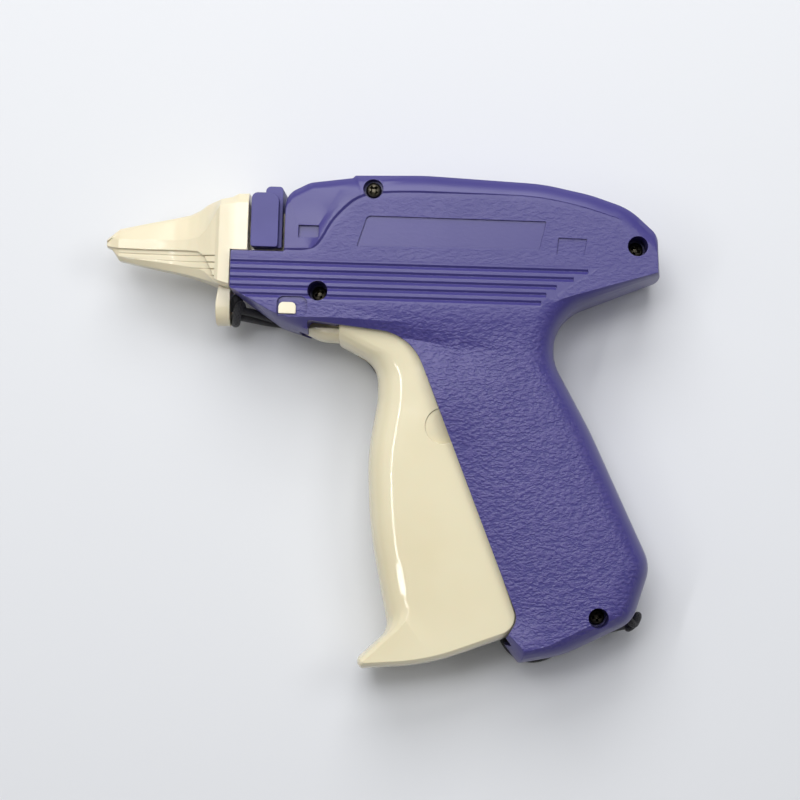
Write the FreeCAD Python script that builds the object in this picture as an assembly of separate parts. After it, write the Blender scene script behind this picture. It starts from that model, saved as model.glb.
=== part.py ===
"""Garment tag attacher, lying on its right side.

Units are millimetres. Drawing coordinates have their zero on the trigger's axis: X runs from the
needle's tip to the back of the body, Y runs up the tool, and Z comes out of its left side, with the
right side's flat at Z = 0. The finished part is moved so that its origin is the drive lever's axis
on that flat, in the middle of the grip.
"""
import FreeCAD, Part
import math
import os
from FreeCAD import Vector

os.makedirs("parts", exist_ok=True)

# ------------------------------------------------------------------ driving dimensions
BODY_THICKNESS = 30.0       # over the two shells
WALL = 2.2                  # shell wall
RUNNING_GAP = 0.05          # radial, between a pin and what turns on it
SLIDE_GAP = 0.3             # between a sliding piece and its guide
PART_GAP = 0.3              # between neighbours on different bodies
FIT_GAP = 0.02              # between a pressed pin and its hole

TRIGGER_WIDTH = 21.6
TRIGGER_WALL = 2.0
TRIGGER_TRAVEL = 13.0       # degrees, bottom of the trigger moves back
HUB_WIDTH = 12.0
HUB_RADIUS = 5.4

PIVOT_BOSS_RADIUS = 3.7     # screw tube that the trigger turns on
SCREW_TUBE_RADIUS = 4.0
SCREW_MOUTH_RADIUS = 2.7
SCREW_HEAD_RADIUS = 2.1
SCREW_HEAD_HEIGHT = 1.6
SCREW_SHANK_RADIUS = 1.1
SCREW_LENGTH = 11.0
TOP_SCREW_LENGTH = 16.0
SCREW_SINK = 9.6            # head below the left flat
TOP_SCREW_SINK = 3.0        # the same for the screw in the top band
SCREW_HEIGHTS = {"front": SCREW_SINK, "top": TOP_SCREW_SINK, "rear": SCREW_SINK, "heel": SCREW_SINK}
SCREW_PLACES = {"front": (0.0, 0.0), "top": (14.2, 28.1), "rear": (86.0, 14.6), "heel": (78.3, -85.6)}

LEVER_AXIS = (57.0, -35.0)
LEVER_THICKNESS = 3.6
LEVER_SWING = 45.0          # degrees over the trigger's travel
LEVER_PIN_RADIUS = 2.0
LEVER_BOSS_RADIUS = 4.5
LEVER_HUB_RADIUS = 5.5
SPACER_THICKNESS = 1.5
CROSS_PIN_PLACE = (48.5, -60.0)
CROSS_PIN_RADIUS = 1.5
ROLLER_RADIUS = 2.2
CAM_GAP = 0.35              # round a pin in its cam slot
LEVER_REACH = 63.0
CUP_PLACE = (35.1, -35.35)  # round hollow in the trigger's side
CUP_RADIUS = 4.9
CUP_DEPTH = 2.4
CUP_LINE = ((33.9, -31.0), (30.9, -37.4))  # where the hollow's floor starts to slope
STRIP_X = (-2.6, 2.2)       # feed pawl on the trigger's hub
STRIP_Y = (5.2, 5.5)
STRIP_HALF = 1.3

SLIDER_PIN_HEIGHT = 9.0
SLIDER_PIN_RADIUS = 1.5
SLIDER_STROKE = 44.0
SLIDER_WIDTH = 11.0
SLIDER_BOTTOM = 6.1
SLIDER_TOP = 22.5
SLIDER_CHEEK = 3.3
SLIDER_FRONT = 14.2         # ahead of the pin
SLIDER_REAR = 13.4          # behind the pin
SLIT_FRONT = 9.0
SLIT_REAR = 11.0
GUIDE_RIB = 1.4

NEEDLE_HEIGHT = 13.05       # Y of the needle's axis
NEEDLE_RADIUS = 1.1
NEEDLE_BORE = 0.85
NEEDLE_TIP = -55.2
ROD_RADIUS = 0.65
ROD_TIP = -5.0

NOSE_FRONT = -24.1          # front of the shells' lower block
NOSE_TOP = NEEDLE_HEIGHT - 2.45  # top of that block, where the holder sits
HOLDER_FRONT = -32.0
HOLDER_REAR = -3.0
HOLDER_SHOULDER = -19.4    # the plug for the cover is ahead of this
HOLDER_TOP = NOSE_TOP + 11.3
HOLDER_WIDTH = 8.8
PLUG_TOP = HOLDER_TOP - 2.4
CLIP_SLOT_X = (-10.5, -9.1)
CLIP_SLOT_WIDTH = 6.0
CLIP_SLOT_FLOOR = NEEDLE_HEIGHT - 1.45
BASE_FRONT = -30.0
BASE_REAR = -12.0
BASE_WIDTH = 5.2
BASE_HEIGHT = 4.8
BASE_BOTTOM = NEEDLE_HEIGHT - 2.05
NOTCH_FLOOR = NEEDLE_HEIGHT + NEEDLE_RADIUS + 0.45

KNOB_X = (-18.8, -11.4)
KNOB_LEG_Y = (NOSE_TOP + 1.2, NOSE_TOP + 15.9)
KNOB_SLAB_X = (-15.2, -10.5)
KNOB_SLAB_SINK = 2.4        # slab's flank below the pad's
KNOB_CROWN_TOP = NOSE_TOP + 17.9
KNOB_SIDE_GAP = 2.3         # knob's flank below the left flat
LOCK_LIFT = 4.0
TONGUE_X = (-16.0, -14.0)
TONGUE_HALF = 1.0
LEDGE = 0.7                 # step between the cover's lower and upper sides
PAWL_HALF = 1.5

COVER_REAR = -19.7
COVER_TIP = -59.4
COVER_PULL = 50.0
COVER_WALL = 1.8
RING_X = (-28.5, -24.6)
RING_CENTRE_Y = -4.0
RING_RADIUS = 5.2
RING_HOLE = 2.2

WHEEL_PLACE = (-5.7, 8.25)
WHEEL_RADIUS = 3.6
WHEEL_TEETH = 18
WHEEL_THICKNESS = 3.0
WHEEL_AXLE_RADIUS = 1.0
WHEEL_POST_RADIUS = 2.2

BUTTON_X = (-10.4, -5.7)
BUTTON_Y = (-6.4, -3.3)
BUTTON_TRAVEL = 1.8
STEM_WIDTH = 2.2            # of the button's stem along X
BUTTON_SINK = 0.9           # button's face below the left flat

RIGHT_NOSE_RELIEF = 5.0     # the right shell's nose is this much thinner
RIGHT_RELIEF_X = 1.0
LEVEL_STEP = 0.5            # the left side panel below the top band
RECESS_DEPTH = 0.5          # bare name recesses in the panel
FRONT_STEP = 0.9            # smooth front region below the top band
GROOVE_DEPTH = 0.5
GROOVE_LOWER = 0.85         # gentle wall, below the groove's line
GROOVE_UPPER = 0.5          # steep wall, above it
GROOVE_PITCH = 2.2
GROOVE_TOP = 7.35
GROOVE_ENDS = (72.8, 69.0, 64.5, 61.7, 60.4)

TETHER_RADIUS = 1.2
STRAP_HOLE_RADIUS = 1.7

# ------------------------------------------------------------------ derived values
MID = BODY_THICKNESS / 2
LEVER_ANGLE = math.radians(LEVER_SWING)
TRIGGER_ANGLE = math.radians(TRIGGER_TRAVEL)
TRIGGER_HALF = TRIGGER_WIDTH / 2
SLIDER_PIN_REST = LEVER_AXIS[0]
INNER = MID - WALL          # height of the shell's inner face above the parting plane

# ------------------------------------------------------------------ outlines
# A corner is (x, y, rounding radius, kind of the edge that follows). Anticlockwise.
BODY_OUTLINE = [
    (NOSE_FRONT, 0.0, 1.2, "chin"),
    (-10.6, -9.0, 5.0, "nose"),
    (-2.4, -11.6, 0.3, "lip"),
    (-2.6, -7.9, 2.6, "lip"),
    (25.6, -10.9, 14.0, "lip"),
    (56.9, -86.8, 7.0, "lip"),
    (52.9, -93.2, 0.4, "toe"),
    (57.2, -98.8, 1.0, "foot"),
    (69.5, -96.2, 30.0, "heel"),
    (87.9, -86.6, 8.0, "back"),
    (92.4, -71.2, 10.0, "back"),
    (74.8, -35.0, 120.0, "back"),
    (58.8, -7.1, 13.0, "under"),
    (92.9, 6.9, 0.6, "stern"),
    (91.6, 17.8, 5.0, "band"),
    (83.5, 25.0, 18.0, "band"),
    (73.0, 28.4, 40.0, "band"),
    (60.0, 31.0, 50.0, "band"),
    (28.0, 32.4, 80.0, "band"),
    (9.2, 31.9, 0.5, "band"),
    (8.5, 31.2, 0.5, "band"),
    (-3.0, 29.6, 5.0, "band"),
    (-9.6, 26.2, 5.0, "end"),
    (-9.6, NOSE_TOP, 0.3, "end"),
    (NOSE_FRONT, NOSE_TOP, 0.6, "end"),
]

# How far each kind of edge has drawn in, at shares of the half thickness above the parting plane.
SHARES = (0.0, 0.40, 0.63, 0.80, 0.91, 0.97, 1.0)
INSETS = {
    "back": (0.0, 0.0, 0.6, 2.0, 3.9, 7.2, 8.6),
    "heel": (0.0, 0.0, 0.5, 1.6, 3.1, 4.6, 6.5),
    "foot": (0.0, 0.0, 0.4, 1.2, 2.3, 3.4, 5.0),
    "toe": (0.0, 0.2, 0.8, 1.8, 2.7, 3.4, 3.8),
    "band": (0.0, 0.0, 0.0, 0.0, 1.5, 3.6, 5.0),
    "nose": (0.0, 0.0, 0.6, 1.3, 2.0, 2.4, 2.6),
    "end": (0.0, 0.0, 0.0, 0.0, 0.1, 0.3, 0.8),
    "lip": (0.0, 0.0, 0.0, 0.0, 0.0, 0.1, 0.4),
    "under": (0.0, 0.0, 0.6, 1.9, 3.4, 4.6, 5.6),
    "stern": (0.0, 0.2, 0.4, 0.7, 1.0, 1.2, 1.4),
    "chin": (0.0, 0.0, 0.1, 0.2, 0.3, 0.4, 0.5),
}
# The same at the far end of an edge, where it differs.
FAR_INSETS = {
    "under": (0.0, 0.1, 0.3, 0.5, 0.8, 1.1, 1.4),
    "stern": (0.0, 0.0, 0.1, 0.2, 0.4, 0.6, 0.9),
    "chin": (0.0, 0.0, 0.4, 0.9, 1.5, 1.9, 2.1),
}

# The edge between the smooth top band and the side panel.
BAND_LINE = [
    (-9.0, 10.9), (-3.5, 11.0), (-0.8, 12.0), (1.0, 14.2), (3.2, 18.2), (6.5, 22.2), (9.7, 24.9),
    (13.0, 26.3), (17.5, 27.0), (30.5, 27.4), (44.8, 27.4), (57.2, 27.1), (67.6, 25.5), (77.3, 22.9),
    (83.8, 20.8), (90.4, 18.0),
]

TRIGGER_OUTLINE = [
    (14.4, -101.8, 1.4, "toe"),
    (33.0, -100.2, 80.0, "toe"),
    (58.4, -90.4, 6.0, "plain"),
    (28.4, -10.2, 12.0, "plain"),
    (5.8, -6.8, 0.3, "plain"),
    (5.9, -13.9, 1.0, "brow"),
    (16.6, -19.2, 8.0, "front"),
    (16.9, -28.5, 20.0, "front"),
    (14.6, -43.5, 60.0, "front"),
    (15.9, -64.0, 120.0, "front"),
    (21.8, -91.0, 5.0, "toe"),
    (13.2, -99.2, 2.0, "toe"),
]
TRIGGER_SHARES = (0.0, 0.30, 0.55, 0.78, 0.92, 1.0)
TRIGGER_INSETS = {
    "front": (0.0, 0.0, 0.7, 2.3, 4.6, 7.6),
    "brow": (0.0, 0.0, 0.5, 1.5, 2.9, 4.6),
    "toe": (0.0, 0.0, 0.1, 0.5, 1.0, 1.8),
    "plain": (0.0, 0.0, 0.0, 0.0, 0.1, 0.5),
    "neck": (0.0, 0.1, 0.5, 1.1, 1.7, 2.3),
}
NECK_OUTLINE = [
    (-4.6, -10.4, 0.5, "neck"),
    (0.6, -12.9, 8.0, "neck"),
    (7.5, -13.2, 0.5, "plain"),
    (9.5, -7.5, 0.5, "plain"),
    (4.6, 0.5, 1.0, "plain"),
    (-4.8, 0.5, 1.0, "plain"),
]

# Cover sections: x, then bottom, step line, crease and top above the needle's axis, then the half
# width and the half width of the top ridge.
COVER_SECTIONS = [
    (COVER_TIP, -1.65, -1.45, -0.05, 0.55, 3.0, 2.6),
    (-58.2, -2.15, -1.85, 0.55, 1.55, 3.2, 2.6),
    (-56.0, -5.15, -2.15, 0.65, 3.55, 4.2, 2.0),
    (-49.5, -6.45, -2.35, 0.55, 5.05, 4.8, 2.1),
    (-40.5, -8.05, -2.45, 0.55, 6.95, 5.7, 2.4),
    (-36.5, -8.85, -2.55, 0.75, 7.85, 6.6, 2.8),
    (-33.6, -9.65, -2.85, 1.35, 9.15, 7.8, 3.6),
    (-31.6, -10.25, -4.25, 3.15, 10.55, 8.8, 4.6),
    (-29.8, -10.85, -7.65, 5.95, 11.25, 9.8, 5.8),
    (-28.6, -11.25, -10.45, 8.35, 11.6, 10.4, 6.8),
    (-27.6, -11.55, -11.0, 9.75, 11.9, 11.3, 8.0),
    (NOSE_FRONT - PART_GAP, -12.45, -11.85, 10.35, 12.45, 11.6, 9.0),
    (-22.6, -12.45, -11.85, 10.75, 13.35, 11.6, 9.4),
    (COVER_REAR, -12.45, -11.85, 10.75, 13.45, 11.6, 9.4),
]
LINE_HEIGHTS = (-3.4, -4.6, -5.8, -7.0)  # fine lines on the cover's lower sides, by the needle's axis

# The tether's route: the middle of the cord, from the hitch on the cover's ring to the strap hole.
TETHER_ROUTE = [
    (-22.4, -6.3, 14.2),
    (-19.0, -6.5, 9.0),
    (-15.6, -6.8, 3.9),
    (-9.4, -7.2, 1.4),
    (-1.6, -9.1, 1.25),
    (6.0, -11.1, 1.25),
    (14.2, -15.6, 1.25),
    (21.0, -27.0, 1.25),
    (22.8, -41.0, 1.25),
    (23.6, -56.0, 1.25),
    (28.4, -72.0, 1.25),
    (38.5, -84.0, 1.25),
    (51.6, -88.6, 1.25),
    (55.1, -96.7, 1.25),
    (62.4, -99.4, 1.25),
    (71.0, -94.6, 1.25),
    (79.2, -90.5, 1.25),
    (85.8, -88.6, 3.2),
    (88.7, -87.6, 9.8),
]


# ------------------------------------------------------------------ geometry helpers
def unit(dx, dy):
    """Returns the direction (dx, dy) at length one."""
    length = math.hypot(dx, dy)
    return dx / length, dy / length


def turned(x, y, angle, about=(0.0, 0.0)):
    """Returns the point (x, y) turned by an angle in radians about a centre."""
    dx, dy = x - about[0], y - about[1]
    cos, sin = math.cos(angle), math.sin(angle)
    return about[0] + dx * cos - dy * sin, about[1] + dx * sin + dy * cos


def drawn_in(corners, near, far):
    """Moves each edge of a closed outline inwards by its own distances.

    corners are (x, y, radius); near and far hold one distance per edge, at its start and at its
    end. A rounded corner keeps its centre, so an outer rounding shrinks and an inner one grows.
    """
    count = len(corners)
    lines = []
    for i in range(count):
        here, after = corners[i], corners[(i + 1) % count]
        ux, uy = unit(after[0] - here[0], after[1] - here[1])
        start = (here[0] - uy * near[i], here[1] + ux * near[i])
        end = (after[0] - uy * far[i], after[1] + ux * far[i])
        lines.append((start, unit(end[0] - start[0], end[1] - start[1])))
    moved = []
    for i in range(count):
        (px, py), (ux, uy) = lines[i - 1]
        (qx, qy), (vx, vy) = lines[i]
        turn = ux * vy - uy * vx
        along = ((qx - px) * vy - (qy - py) * vx) / turn
        mean = (far[i - 1] + near[i]) / 2
        radius = corners[i][2] - mean if turn > 0 else corners[i][2] + mean
        moved.append((px + ux * along, py + uy * along, max(radius, 0.05)))
    return moved


def outline_wire(corners, z):
    """Returns a closed wire at height z, of straight runs joined by tangent arcs."""
    count = len(corners)
    starts, mids, ends = [], [], []
    for i in range(count):
        before, here, after = corners[i - 1], corners[i], corners[(i + 1) % count]
        ux, uy = unit(here[0] - before[0], here[1] - before[1])
        vx, vy = unit(after[0] - here[0], after[1] - here[1])
        half_turn = math.acos(max(-1.0, min(1.0, ux * vx + uy * vy))) / 2
        room = min(math.hypot(here[0] - before[0], here[1] - before[1]),
                   math.hypot(after[0] - here[0], after[1] - here[1])) * 0.49
        tangent = min(here[2] * math.tan(half_turn), room)
        radius = tangent / math.tan(half_turn)
        starts.append(Vector(here[0] - ux * tangent, here[1] - uy * tangent, z))
        ends.append(Vector(here[0] + vx * tangent, here[1] + vy * tangent, z))
        bx, by = unit(vx - ux, vy - uy)
        reach = radius / math.cos(half_turn)
        mids.append(Vector(here[0] + bx * (reach - radius), here[1] + by * (reach - radius), z))
    edges = []
    for i in range(count):
        edges.append(Part.Arc(starts[i], mids[i], ends[i]).toShape())
        edges.append(Part.LineSegment(ends[i], starts[(i + 1) % count]).toShape())
    return Part.Wire(edges)


def prism(corners, low, high):
    """Returns an outline's solid between two heights."""
    face = Part.Face(outline_wire(corners, low))
    return face.extrude(Vector(0, 0, high - low))


def polygon_prism(points, low, high):
    """Returns a sharp-cornered solid between two heights."""
    wire = Part.makePolygon([Vector(x, y, low) for x, y in points + points[:1]])
    return Part.Face(wire).extrude(Vector(0, 0, high - low))


def box(x, y, z):
    """Returns a box from three (low, high) pairs."""
    size = (x[1] - x[0], y[1] - y[0], z[1] - z[0])
    return Part.makeBox(size[0], size[1], size[2], Vector(x[0], y[0], z[0]))


def post(place, radius, low, high):
    """Returns an upright cylinder at a place on the drawing."""
    return Part.makeCylinder(radius, high - low, Vector(place[0], place[1], low))


def bar_along_x(radius, x, y, z):
    """Returns a cylinder along X between two x values."""
    return Part.makeCylinder(radius, x[1] - x[0], Vector(x[0], y, z), Vector(1, 0, 0))


def layered_half(outline, levels, insets, extra=0.0):
    """Returns half of a body whose outline draws in, level by level, from the parting plane.

    levels are heights above the parting plane, and insets give each kind of edge one distance per
    level, to which extra is added everywhere.
    """
    corners = [corner[:3] for corner in outline]
    kinds = [corner[3] for corner in outline]
    rings = []
    for k in range(len(levels)):
        near = [insets[kind][k] + extra for kind in kinds]
        far = [FAR_INSETS.get(kind, insets[kind])[k] + extra for kind in kinds]
        rings.append(drawn_in(corners, near, far))
    wires = [outline_wire(ring, level) for ring, level in zip(rings, levels)]
    return Part.makeLoft(wires, True, True)


def mirrored(shape):
    """Returns the shape mirrored in the parting plane, which is at height 0 here."""
    return shape.mirror(Vector(0, 0, 0), Vector(0, 0, 1))


# ------------------------------------------------------------------ shells
def outer_half():
    """Returns the solid left half of the body, on the parting plane."""
    levels = [share * MID for share in SHARES]
    return layered_half(BODY_OUTLINE, levels, INSETS)


def cavity_half():
    """Returns the hollow of one half: the body's shape, one wall smaller."""
    levels = [share * INNER for share in SHARES[:5]]
    levels[0] = -1.0
    levels[-1] = INNER
    cavity = layered_half(BODY_OUTLINE, levels, INSETS, WALL)
    for planed in (facet_cut(), belly_cut()):
        planed.translate(Vector(0, 0, -WALL))
        cavity = cavity.cut(planed)
    return cavity


def trigger_mouth():
    """Returns the opening in the front of the grip that the trigger moves through."""
    reach = TRIGGER_HALF + PART_GAP + 0.1
    points = [(5.3, -4.8), (5.3, -16.0), (20.0, -16.0), (49.0, -86.0), (48.0, -93.9), (55.2, -93.9),
              (60.6, -90.0), (61.0, -86.0), (32.0, -10.0), (24.0, -6.6)]
    return polygon_prism(points, -reach, reach)


def trigger_sweep():
    """Returns the room beside the trigger's upper rear corner, which swings up into the body."""
    reach = TRIGGER_HALF + PART_GAP + 0.1
    return polygon_prism([(24.0, -5.5), (24.0, -20.0), (44.0, -34.0), (50.0, -5.5)], -reach, reach)


def holder_mouth():
    """Returns the opening in the front of the upper body for the needle holder and its clips."""
    half = HOLDER_WIDTH / 2 + SLIDE_GAP
    depth = (-14.0, -9.6 + WALL + 0.4)
    slot_half = CLIP_SLOT_WIDTH / 2
    room = box(depth, (NOSE_TOP - 0.01, HOLDER_TOP + 1.2), (-half, half))
    channel = box(depth, (NOSE_TOP - 0.01, 34.0), (-slot_half, slot_half))
    return room.fuse(channel)


def wheel_room():
    """Returns the room in the shells' front wall for the feed wheel."""
    half = WHEEL_THICKNESS / 2 + 0.4
    return post(WHEEL_PLACE, WHEEL_RADIUS + 0.4, -half, half)


def neck_mouth():
    """Returns the room for the trigger's neck under the nose."""
    half = HUB_WIDTH / 2 + PART_GAP
    return polygon_prism([(-5.2, -5.2), (-5.2, -13.5), (8.0, -13.5), (8.0, -5.2)], -half, half)


def facet_cut():
    """Returns what is planed off the grip's side towards the trigger, above the left flat."""
    low, high = (66.8, -82.5), (44.4, -21.5)
    along = unit(high[0] - low[0], high[1] - low[1])
    run = math.hypot(high[0] - low[0], high[1] - low[1])
    width, slope = 26.0, 0.16
    wires = []
    for reach, share in ((-9.5, 0.01), (0.0, 1.0), (run - 18.0, 1.0), (run, 0.01)):
        drop = width * slope * share
        section = [Vector(reach, 0, MID), Vector(reach, width, MID - drop), Vector(reach, width, MID + 2),
                   Vector(reach, 0, MID + 2)]
        wires.append(Part.makePolygon(section + section[:1]))
    wedge = Part.makeLoft(wires, True, True)
    wedge.rotate(Vector(0, 0, 0), Vector(0, 0, 1), math.degrees(math.atan2(along[1], along[0])))
    wedge.translate(Vector(low[0], low[1], 0))
    return wedge


def belly_cut():
    """Returns the slope under the nose that faces down towards the trigger and fades on the grip."""
    wires = []
    # Along the tool: x, the crease's y, how far below it the deepest line is, depth there, way back up.
    for x, crease, valley, depth, rise in ((-14.0, -7.0, 3.0, 3.6, 6.0), (4.0, -6.6, 3.4, 3.3, 8.0),
                                           (27.0, -6.9, 5.5, 2.6, 12.0), (38.0, -8.2, 6.0, 1.9, 13.0),
                                           (56.0, -9.3, 6.0, 0.02, 10.0)):
        section = [Vector(x, crease, MID), Vector(x, crease - valley, MID - depth),
                   Vector(x, crease - valley - rise, MID), Vector(x, crease - valley - rise, MID + 1),
                   Vector(x, crease, MID + 1)]
        wires.append(Part.makePolygon(section + section[:1]))
    return Part.makeLoft(wires, True, True)


def grooves(depth_side):
    """Returns the five grooves along one side, which end short of the back one after another."""
    cuts = []
    start = NOSE_FRONT - 2.0
    for k, end in enumerate(GROOVE_ENDS):
        y = GROOVE_TOP - GROOVE_PITCH * k
        first = max(start, -24.0 + (0.4 - y) * 1.5) if y < 0.4 else start
        low, top = y - GROOVE_LOWER, y + GROOVE_UPPER
        section = [Vector(first, low, depth_side), Vector(first, y - 0.05, depth_side - GROOVE_DEPTH),
                   Vector(first, top, depth_side), Vector(first, top, depth_side + 1),
                   Vector(first, low, depth_side + 1)]
        face = Part.Face(Part.makePolygon(section + section[:1]))
        cuts.append(face.extrude(Vector(end - first, 0, 0)))
    return cuts


def name_recesses(panel):
    """Returns the two shallow bare recesses in a side panel at height panel."""
    floor, top = panel - RECESS_DEPTH, MID + 1.0
    name = prism([(10.2, 12.3, 0.3), (59.5, 12.8, 0.3), (61.2, 20.5, 0.3), (12.8, 20.7, 1.4)], floor, top)
    small = prism([(64.2, 11.7, 0.2), (71.6, 11.8, 0.2), (72.3, 16.1, 0.2), (64.6, 16.2, 0.2)], floor, top)
    return [name, small]


def front_window():
    """Returns the small square recess in the smooth front region."""
    return box((-5.7, -0.2), (14.4, 17.7), (MID - FRONT_STEP - 1.2, MID + 1.0))


def front_step():
    """Returns what the smooth front region is lower by than the top band, with a slanted riser."""
    riser = 2.2
    low = [(-30.0, NOSE_TOP + 0.3), (-3.2, NOSE_TOP + 0.9), (-1.5, 15.6), (2.2, 22.3), (7.3, 33.5),
           (-30.0, 33.5)]
    high = [(x + riser if k in (1, 2, 3, 4) else x, y) for k, (x, y) in enumerate(low)]
    floor = Part.makePolygon([Vector(x, y, MID - FRONT_STEP) for x, y in low + low[:1]])
    rim = Part.makePolygon([Vector(x, y, MID + 0.1) for x, y in high + high[:1]])
    return Part.makeLoft([floor, rim], True, True)


def beside(path, distance):
    """Returns a path's points moved to its left by a distance."""
    moved = []
    for k, (x, y) in enumerate(path):
        before, after = path[max(k - 1, 0)], path[min(k + 1, len(path) - 1)]
        ux, uy = unit(after[0] - before[0], after[1] - before[1])
        moved.append((x - uy * distance, y + ux * distance))
    return moved


def side_panel():
    """Returns what lies over the sunk side panel, below a slanted step at the top band."""
    round_about = [(100.0, 17.4), (110.0, -60.0), (96.0, -104.0), (40.0, -104.0), (10.0, -20.0),
                   (-3.2, -13.0), (-14.0, -12.0), (-30.0, 3.0), (-30.0, 10.9)]
    wires = []
    for height, aside in ((MID - LEVEL_STEP, 0.0), (MID + 0.1, 0.8)):
        edge = beside(BAND_LINE, aside)
        closing = [edge[-1]] + round_about + [edge[0]]
        upper = curve_between([Vector(x, y, height) for x, y in edge])
        rest = Part.makePolygon([Vector(x, y, height) for x, y in closing])
        wires.append(Part.Wire([upper] + rest.Edges))
    return Part.makeLoft(wires, True, True)


def band_line():
    """Returns the groove between the smooth top band and the side panel."""
    return slot_shape(BAND_LINE, 0.3, MID - LEVEL_STEP, MID + 1.0)


def button_recess():
    """Returns the scooped recess round the clip release button, and its slot through the wall."""
    (left, right), (bottom, top) = BUTTON_X, BUTTON_Y
    scoop = prism([(left - 0.4, bottom - 0.6, 0.5), (right + 3.0, bottom - 0.6, 1.2),
                   (right + 3.0, top + 1.6, 1.8), (left - 0.4, top + 1.6, 1.8)], MID - 1.6, MID + 1.0)
    slot = box((left + 0.1, left + STEM_WIDTH + BUTTON_TRAVEL + 0.6), (bottom + 0.3, top - 0.3),
               (INNER - 3.0, MID + 1.0))
    return [scoop, slot]


def strap_hole():
    """Returns the hole for the tether through the grip's rear lower corner."""
    place, along = Vector(82.0, -79.6, 0), Vector(6.6, -8.0, 0)
    return Part.makeCylinder(STRAP_HOLE_RADIUS, 14.0, place, along)


def screw_tubes(low, high, outer):
    """Returns the tubes that the shell screws stand in, cut to the shell's outside."""
    tubes = []
    for name, place in SCREW_PLACES.items():
        radius = PIVOT_BOSS_RADIUS if name == "front" else SCREW_TUBE_RADIUS
        tubes.append(post(place, radius, low, high).common(outer))
    return tubes


def guide_ribs(low, high):
    """Returns the two ribs of one shell that the slider runs between."""
    rear = SLIDER_PIN_REST + SLIDER_REAR - 1.0
    front = SLIDER_PIN_REST - SLIDER_STROKE - SLIDER_FRONT + 6.0
    upper_y = SLIDER_TOP + SLIDE_GAP
    lower_y = SLIDER_BOTTOM - SLIDE_GAP - GUIDE_RIB
    upper = box((front, rear), (upper_y, upper_y + GUIDE_RIB), (low, high))
    lower = box((front + 5.0, rear), (lower_y, lower_y + GUIDE_RIB), (low, high))
    return [upper, lower]


def bumper_wall(low, high):
    """Returns the wall of one shell that the rear bumper leans on."""
    front = SLIDER_PIN_REST + SLIDER_REAR + 3.2
    return box((front, front + 1.8), (8.0, 21.0), (low, high))


def left_shell():
    """Returns the left shell, which carries the screw heads and the release button."""
    outer = outer_half()
    solid = outer.cut(cavity_half())
    inside = INNER + 0.2
    tubes = screw_tubes(0.0, MID, outer)
    ribs = guide_ribs(LEVER_THICKNESS / 2 + 0.9, inside)
    lever_boss = post(LEVER_AXIS, LEVER_BOSS_RADIUS, LEVER_THICKNESS / 2 + SPACER_THICKNESS, inside)
    wheel_post = post(WHEEL_PLACE, WHEEL_POST_RADIUS, WHEEL_THICKNESS / 2 + 0.9, inside)
    stop = bumper_wall(0.0, inside)
    solid = solid.multiFuse(ribs + [lever_boss, wheel_post, stop])
    for mouth in (trigger_mouth(), trigger_sweep(), neck_mouth(), holder_mouth(), wheel_room()):
        solid = solid.cut(mouth)
    solid = solid.multiFuse(tubes)
    panel = MID - LEVEL_STEP
    cuts = [side_panel(), front_step(), front_window(), facet_cut(), belly_cut(), strap_hole()]
    cuts += grooves(panel) + name_recesses(panel) + button_recess()
    for name, (x, y) in SCREW_PLACES.items():
        seat = MID - SCREW_HEIGHTS[name] - SCREW_HEAD_HEIGHT
        cuts.append(post((x, y), SCREW_MOUTH_RADIUS, seat, MID + 2))
        cuts.append(post((x, y), SCREW_SHANK_RADIUS + 0.25, -1.0, seat + 1))
    cuts.append(post(LEVER_AXIS, LEVER_PIN_RADIUS + FIT_GAP, -1.0, INNER - 1.0))
    cuts.append(post(WHEEL_PLACE, WHEEL_AXLE_RADIUS + FIT_GAP, -1.0, INNER - 1.0))
    for cut in cuts:
        solid = solid.cut(cut)
    return solid


def right_shell():
    """Returns the right shell, whose nose is thinner so that tags can hang beside it."""
    outer = mirrored(outer_half())
    solid = outer.cut(mirrored(cavity_half()))
    inside = -INNER - 0.2
    shallow = -(MID - RIGHT_NOSE_RELIEF)
    nose_skin = outer.common(box((-40.0, RIGHT_RELIEF_X), (-20.0, 40.0), (shallow, shallow + WALL)))
    tubes = screw_tubes(-MID, 0.0, outer)
    ribs = guide_ribs(inside, -LEVER_THICKNESS / 2 - 0.9)
    lever_boss = post(LEVER_AXIS, LEVER_BOSS_RADIUS, inside, -LEVER_THICKNESS / 2 - SPACER_THICKNESS)
    wheel_post = post(WHEEL_PLACE, WHEEL_POST_RADIUS, shallow, -WHEEL_THICKNESS / 2 - 0.9)
    behind_relief = (RIGHT_RELIEF_X, RIGHT_RELIEF_X + WALL)
    relief_wall = outer.common(box(behind_relief, (-20.0, 40.0), (-MID, shallow + WALL)))
    stop = bumper_wall(inside, 0.0)
    solid = solid.multiFuse([nose_skin, relief_wall, stop, lever_boss, wheel_post] + ribs)
    for mouth in (trigger_mouth(), trigger_sweep(), neck_mouth(), holder_mouth(), wheel_room()):
        solid = solid.cut(mouth)
    solid = solid.multiFuse(tubes)
    relief = box((-40.0, RIGHT_RELIEF_X), (-20.0, 40.0), (-MID - 1.0, shallow))
    mirrored_cuts = grooves(MID) + name_recesses(MID) + [band_line(), facet_cut(), belly_cut()]
    cuts = [relief] + [mirrored(cut) for cut in mirrored_cuts] + [strap_hole()]
    for name, (x, y) in SCREW_PLACES.items():
        length = TOP_SCREW_LENGTH if name == "top" else SCREW_LENGTH
        tip = MID - SCREW_HEIGHTS[name] - SCREW_HEAD_HEIGHT - length
        cuts.append(post((x, y), SCREW_SHANK_RADIUS + FIT_GAP, tip - 0.5, 1.0))
    cuts.append(post(LEVER_AXIS, LEVER_PIN_RADIUS + FIT_GAP, -INNER + 1.0, 1.0))
    cuts.append(post(WHEEL_PLACE, WHEEL_AXLE_RADIUS + FIT_GAP, shallow + 1.0, 1.0))
    for cut in cuts:
        solid = solid.cut(cut)
    return solid


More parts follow.
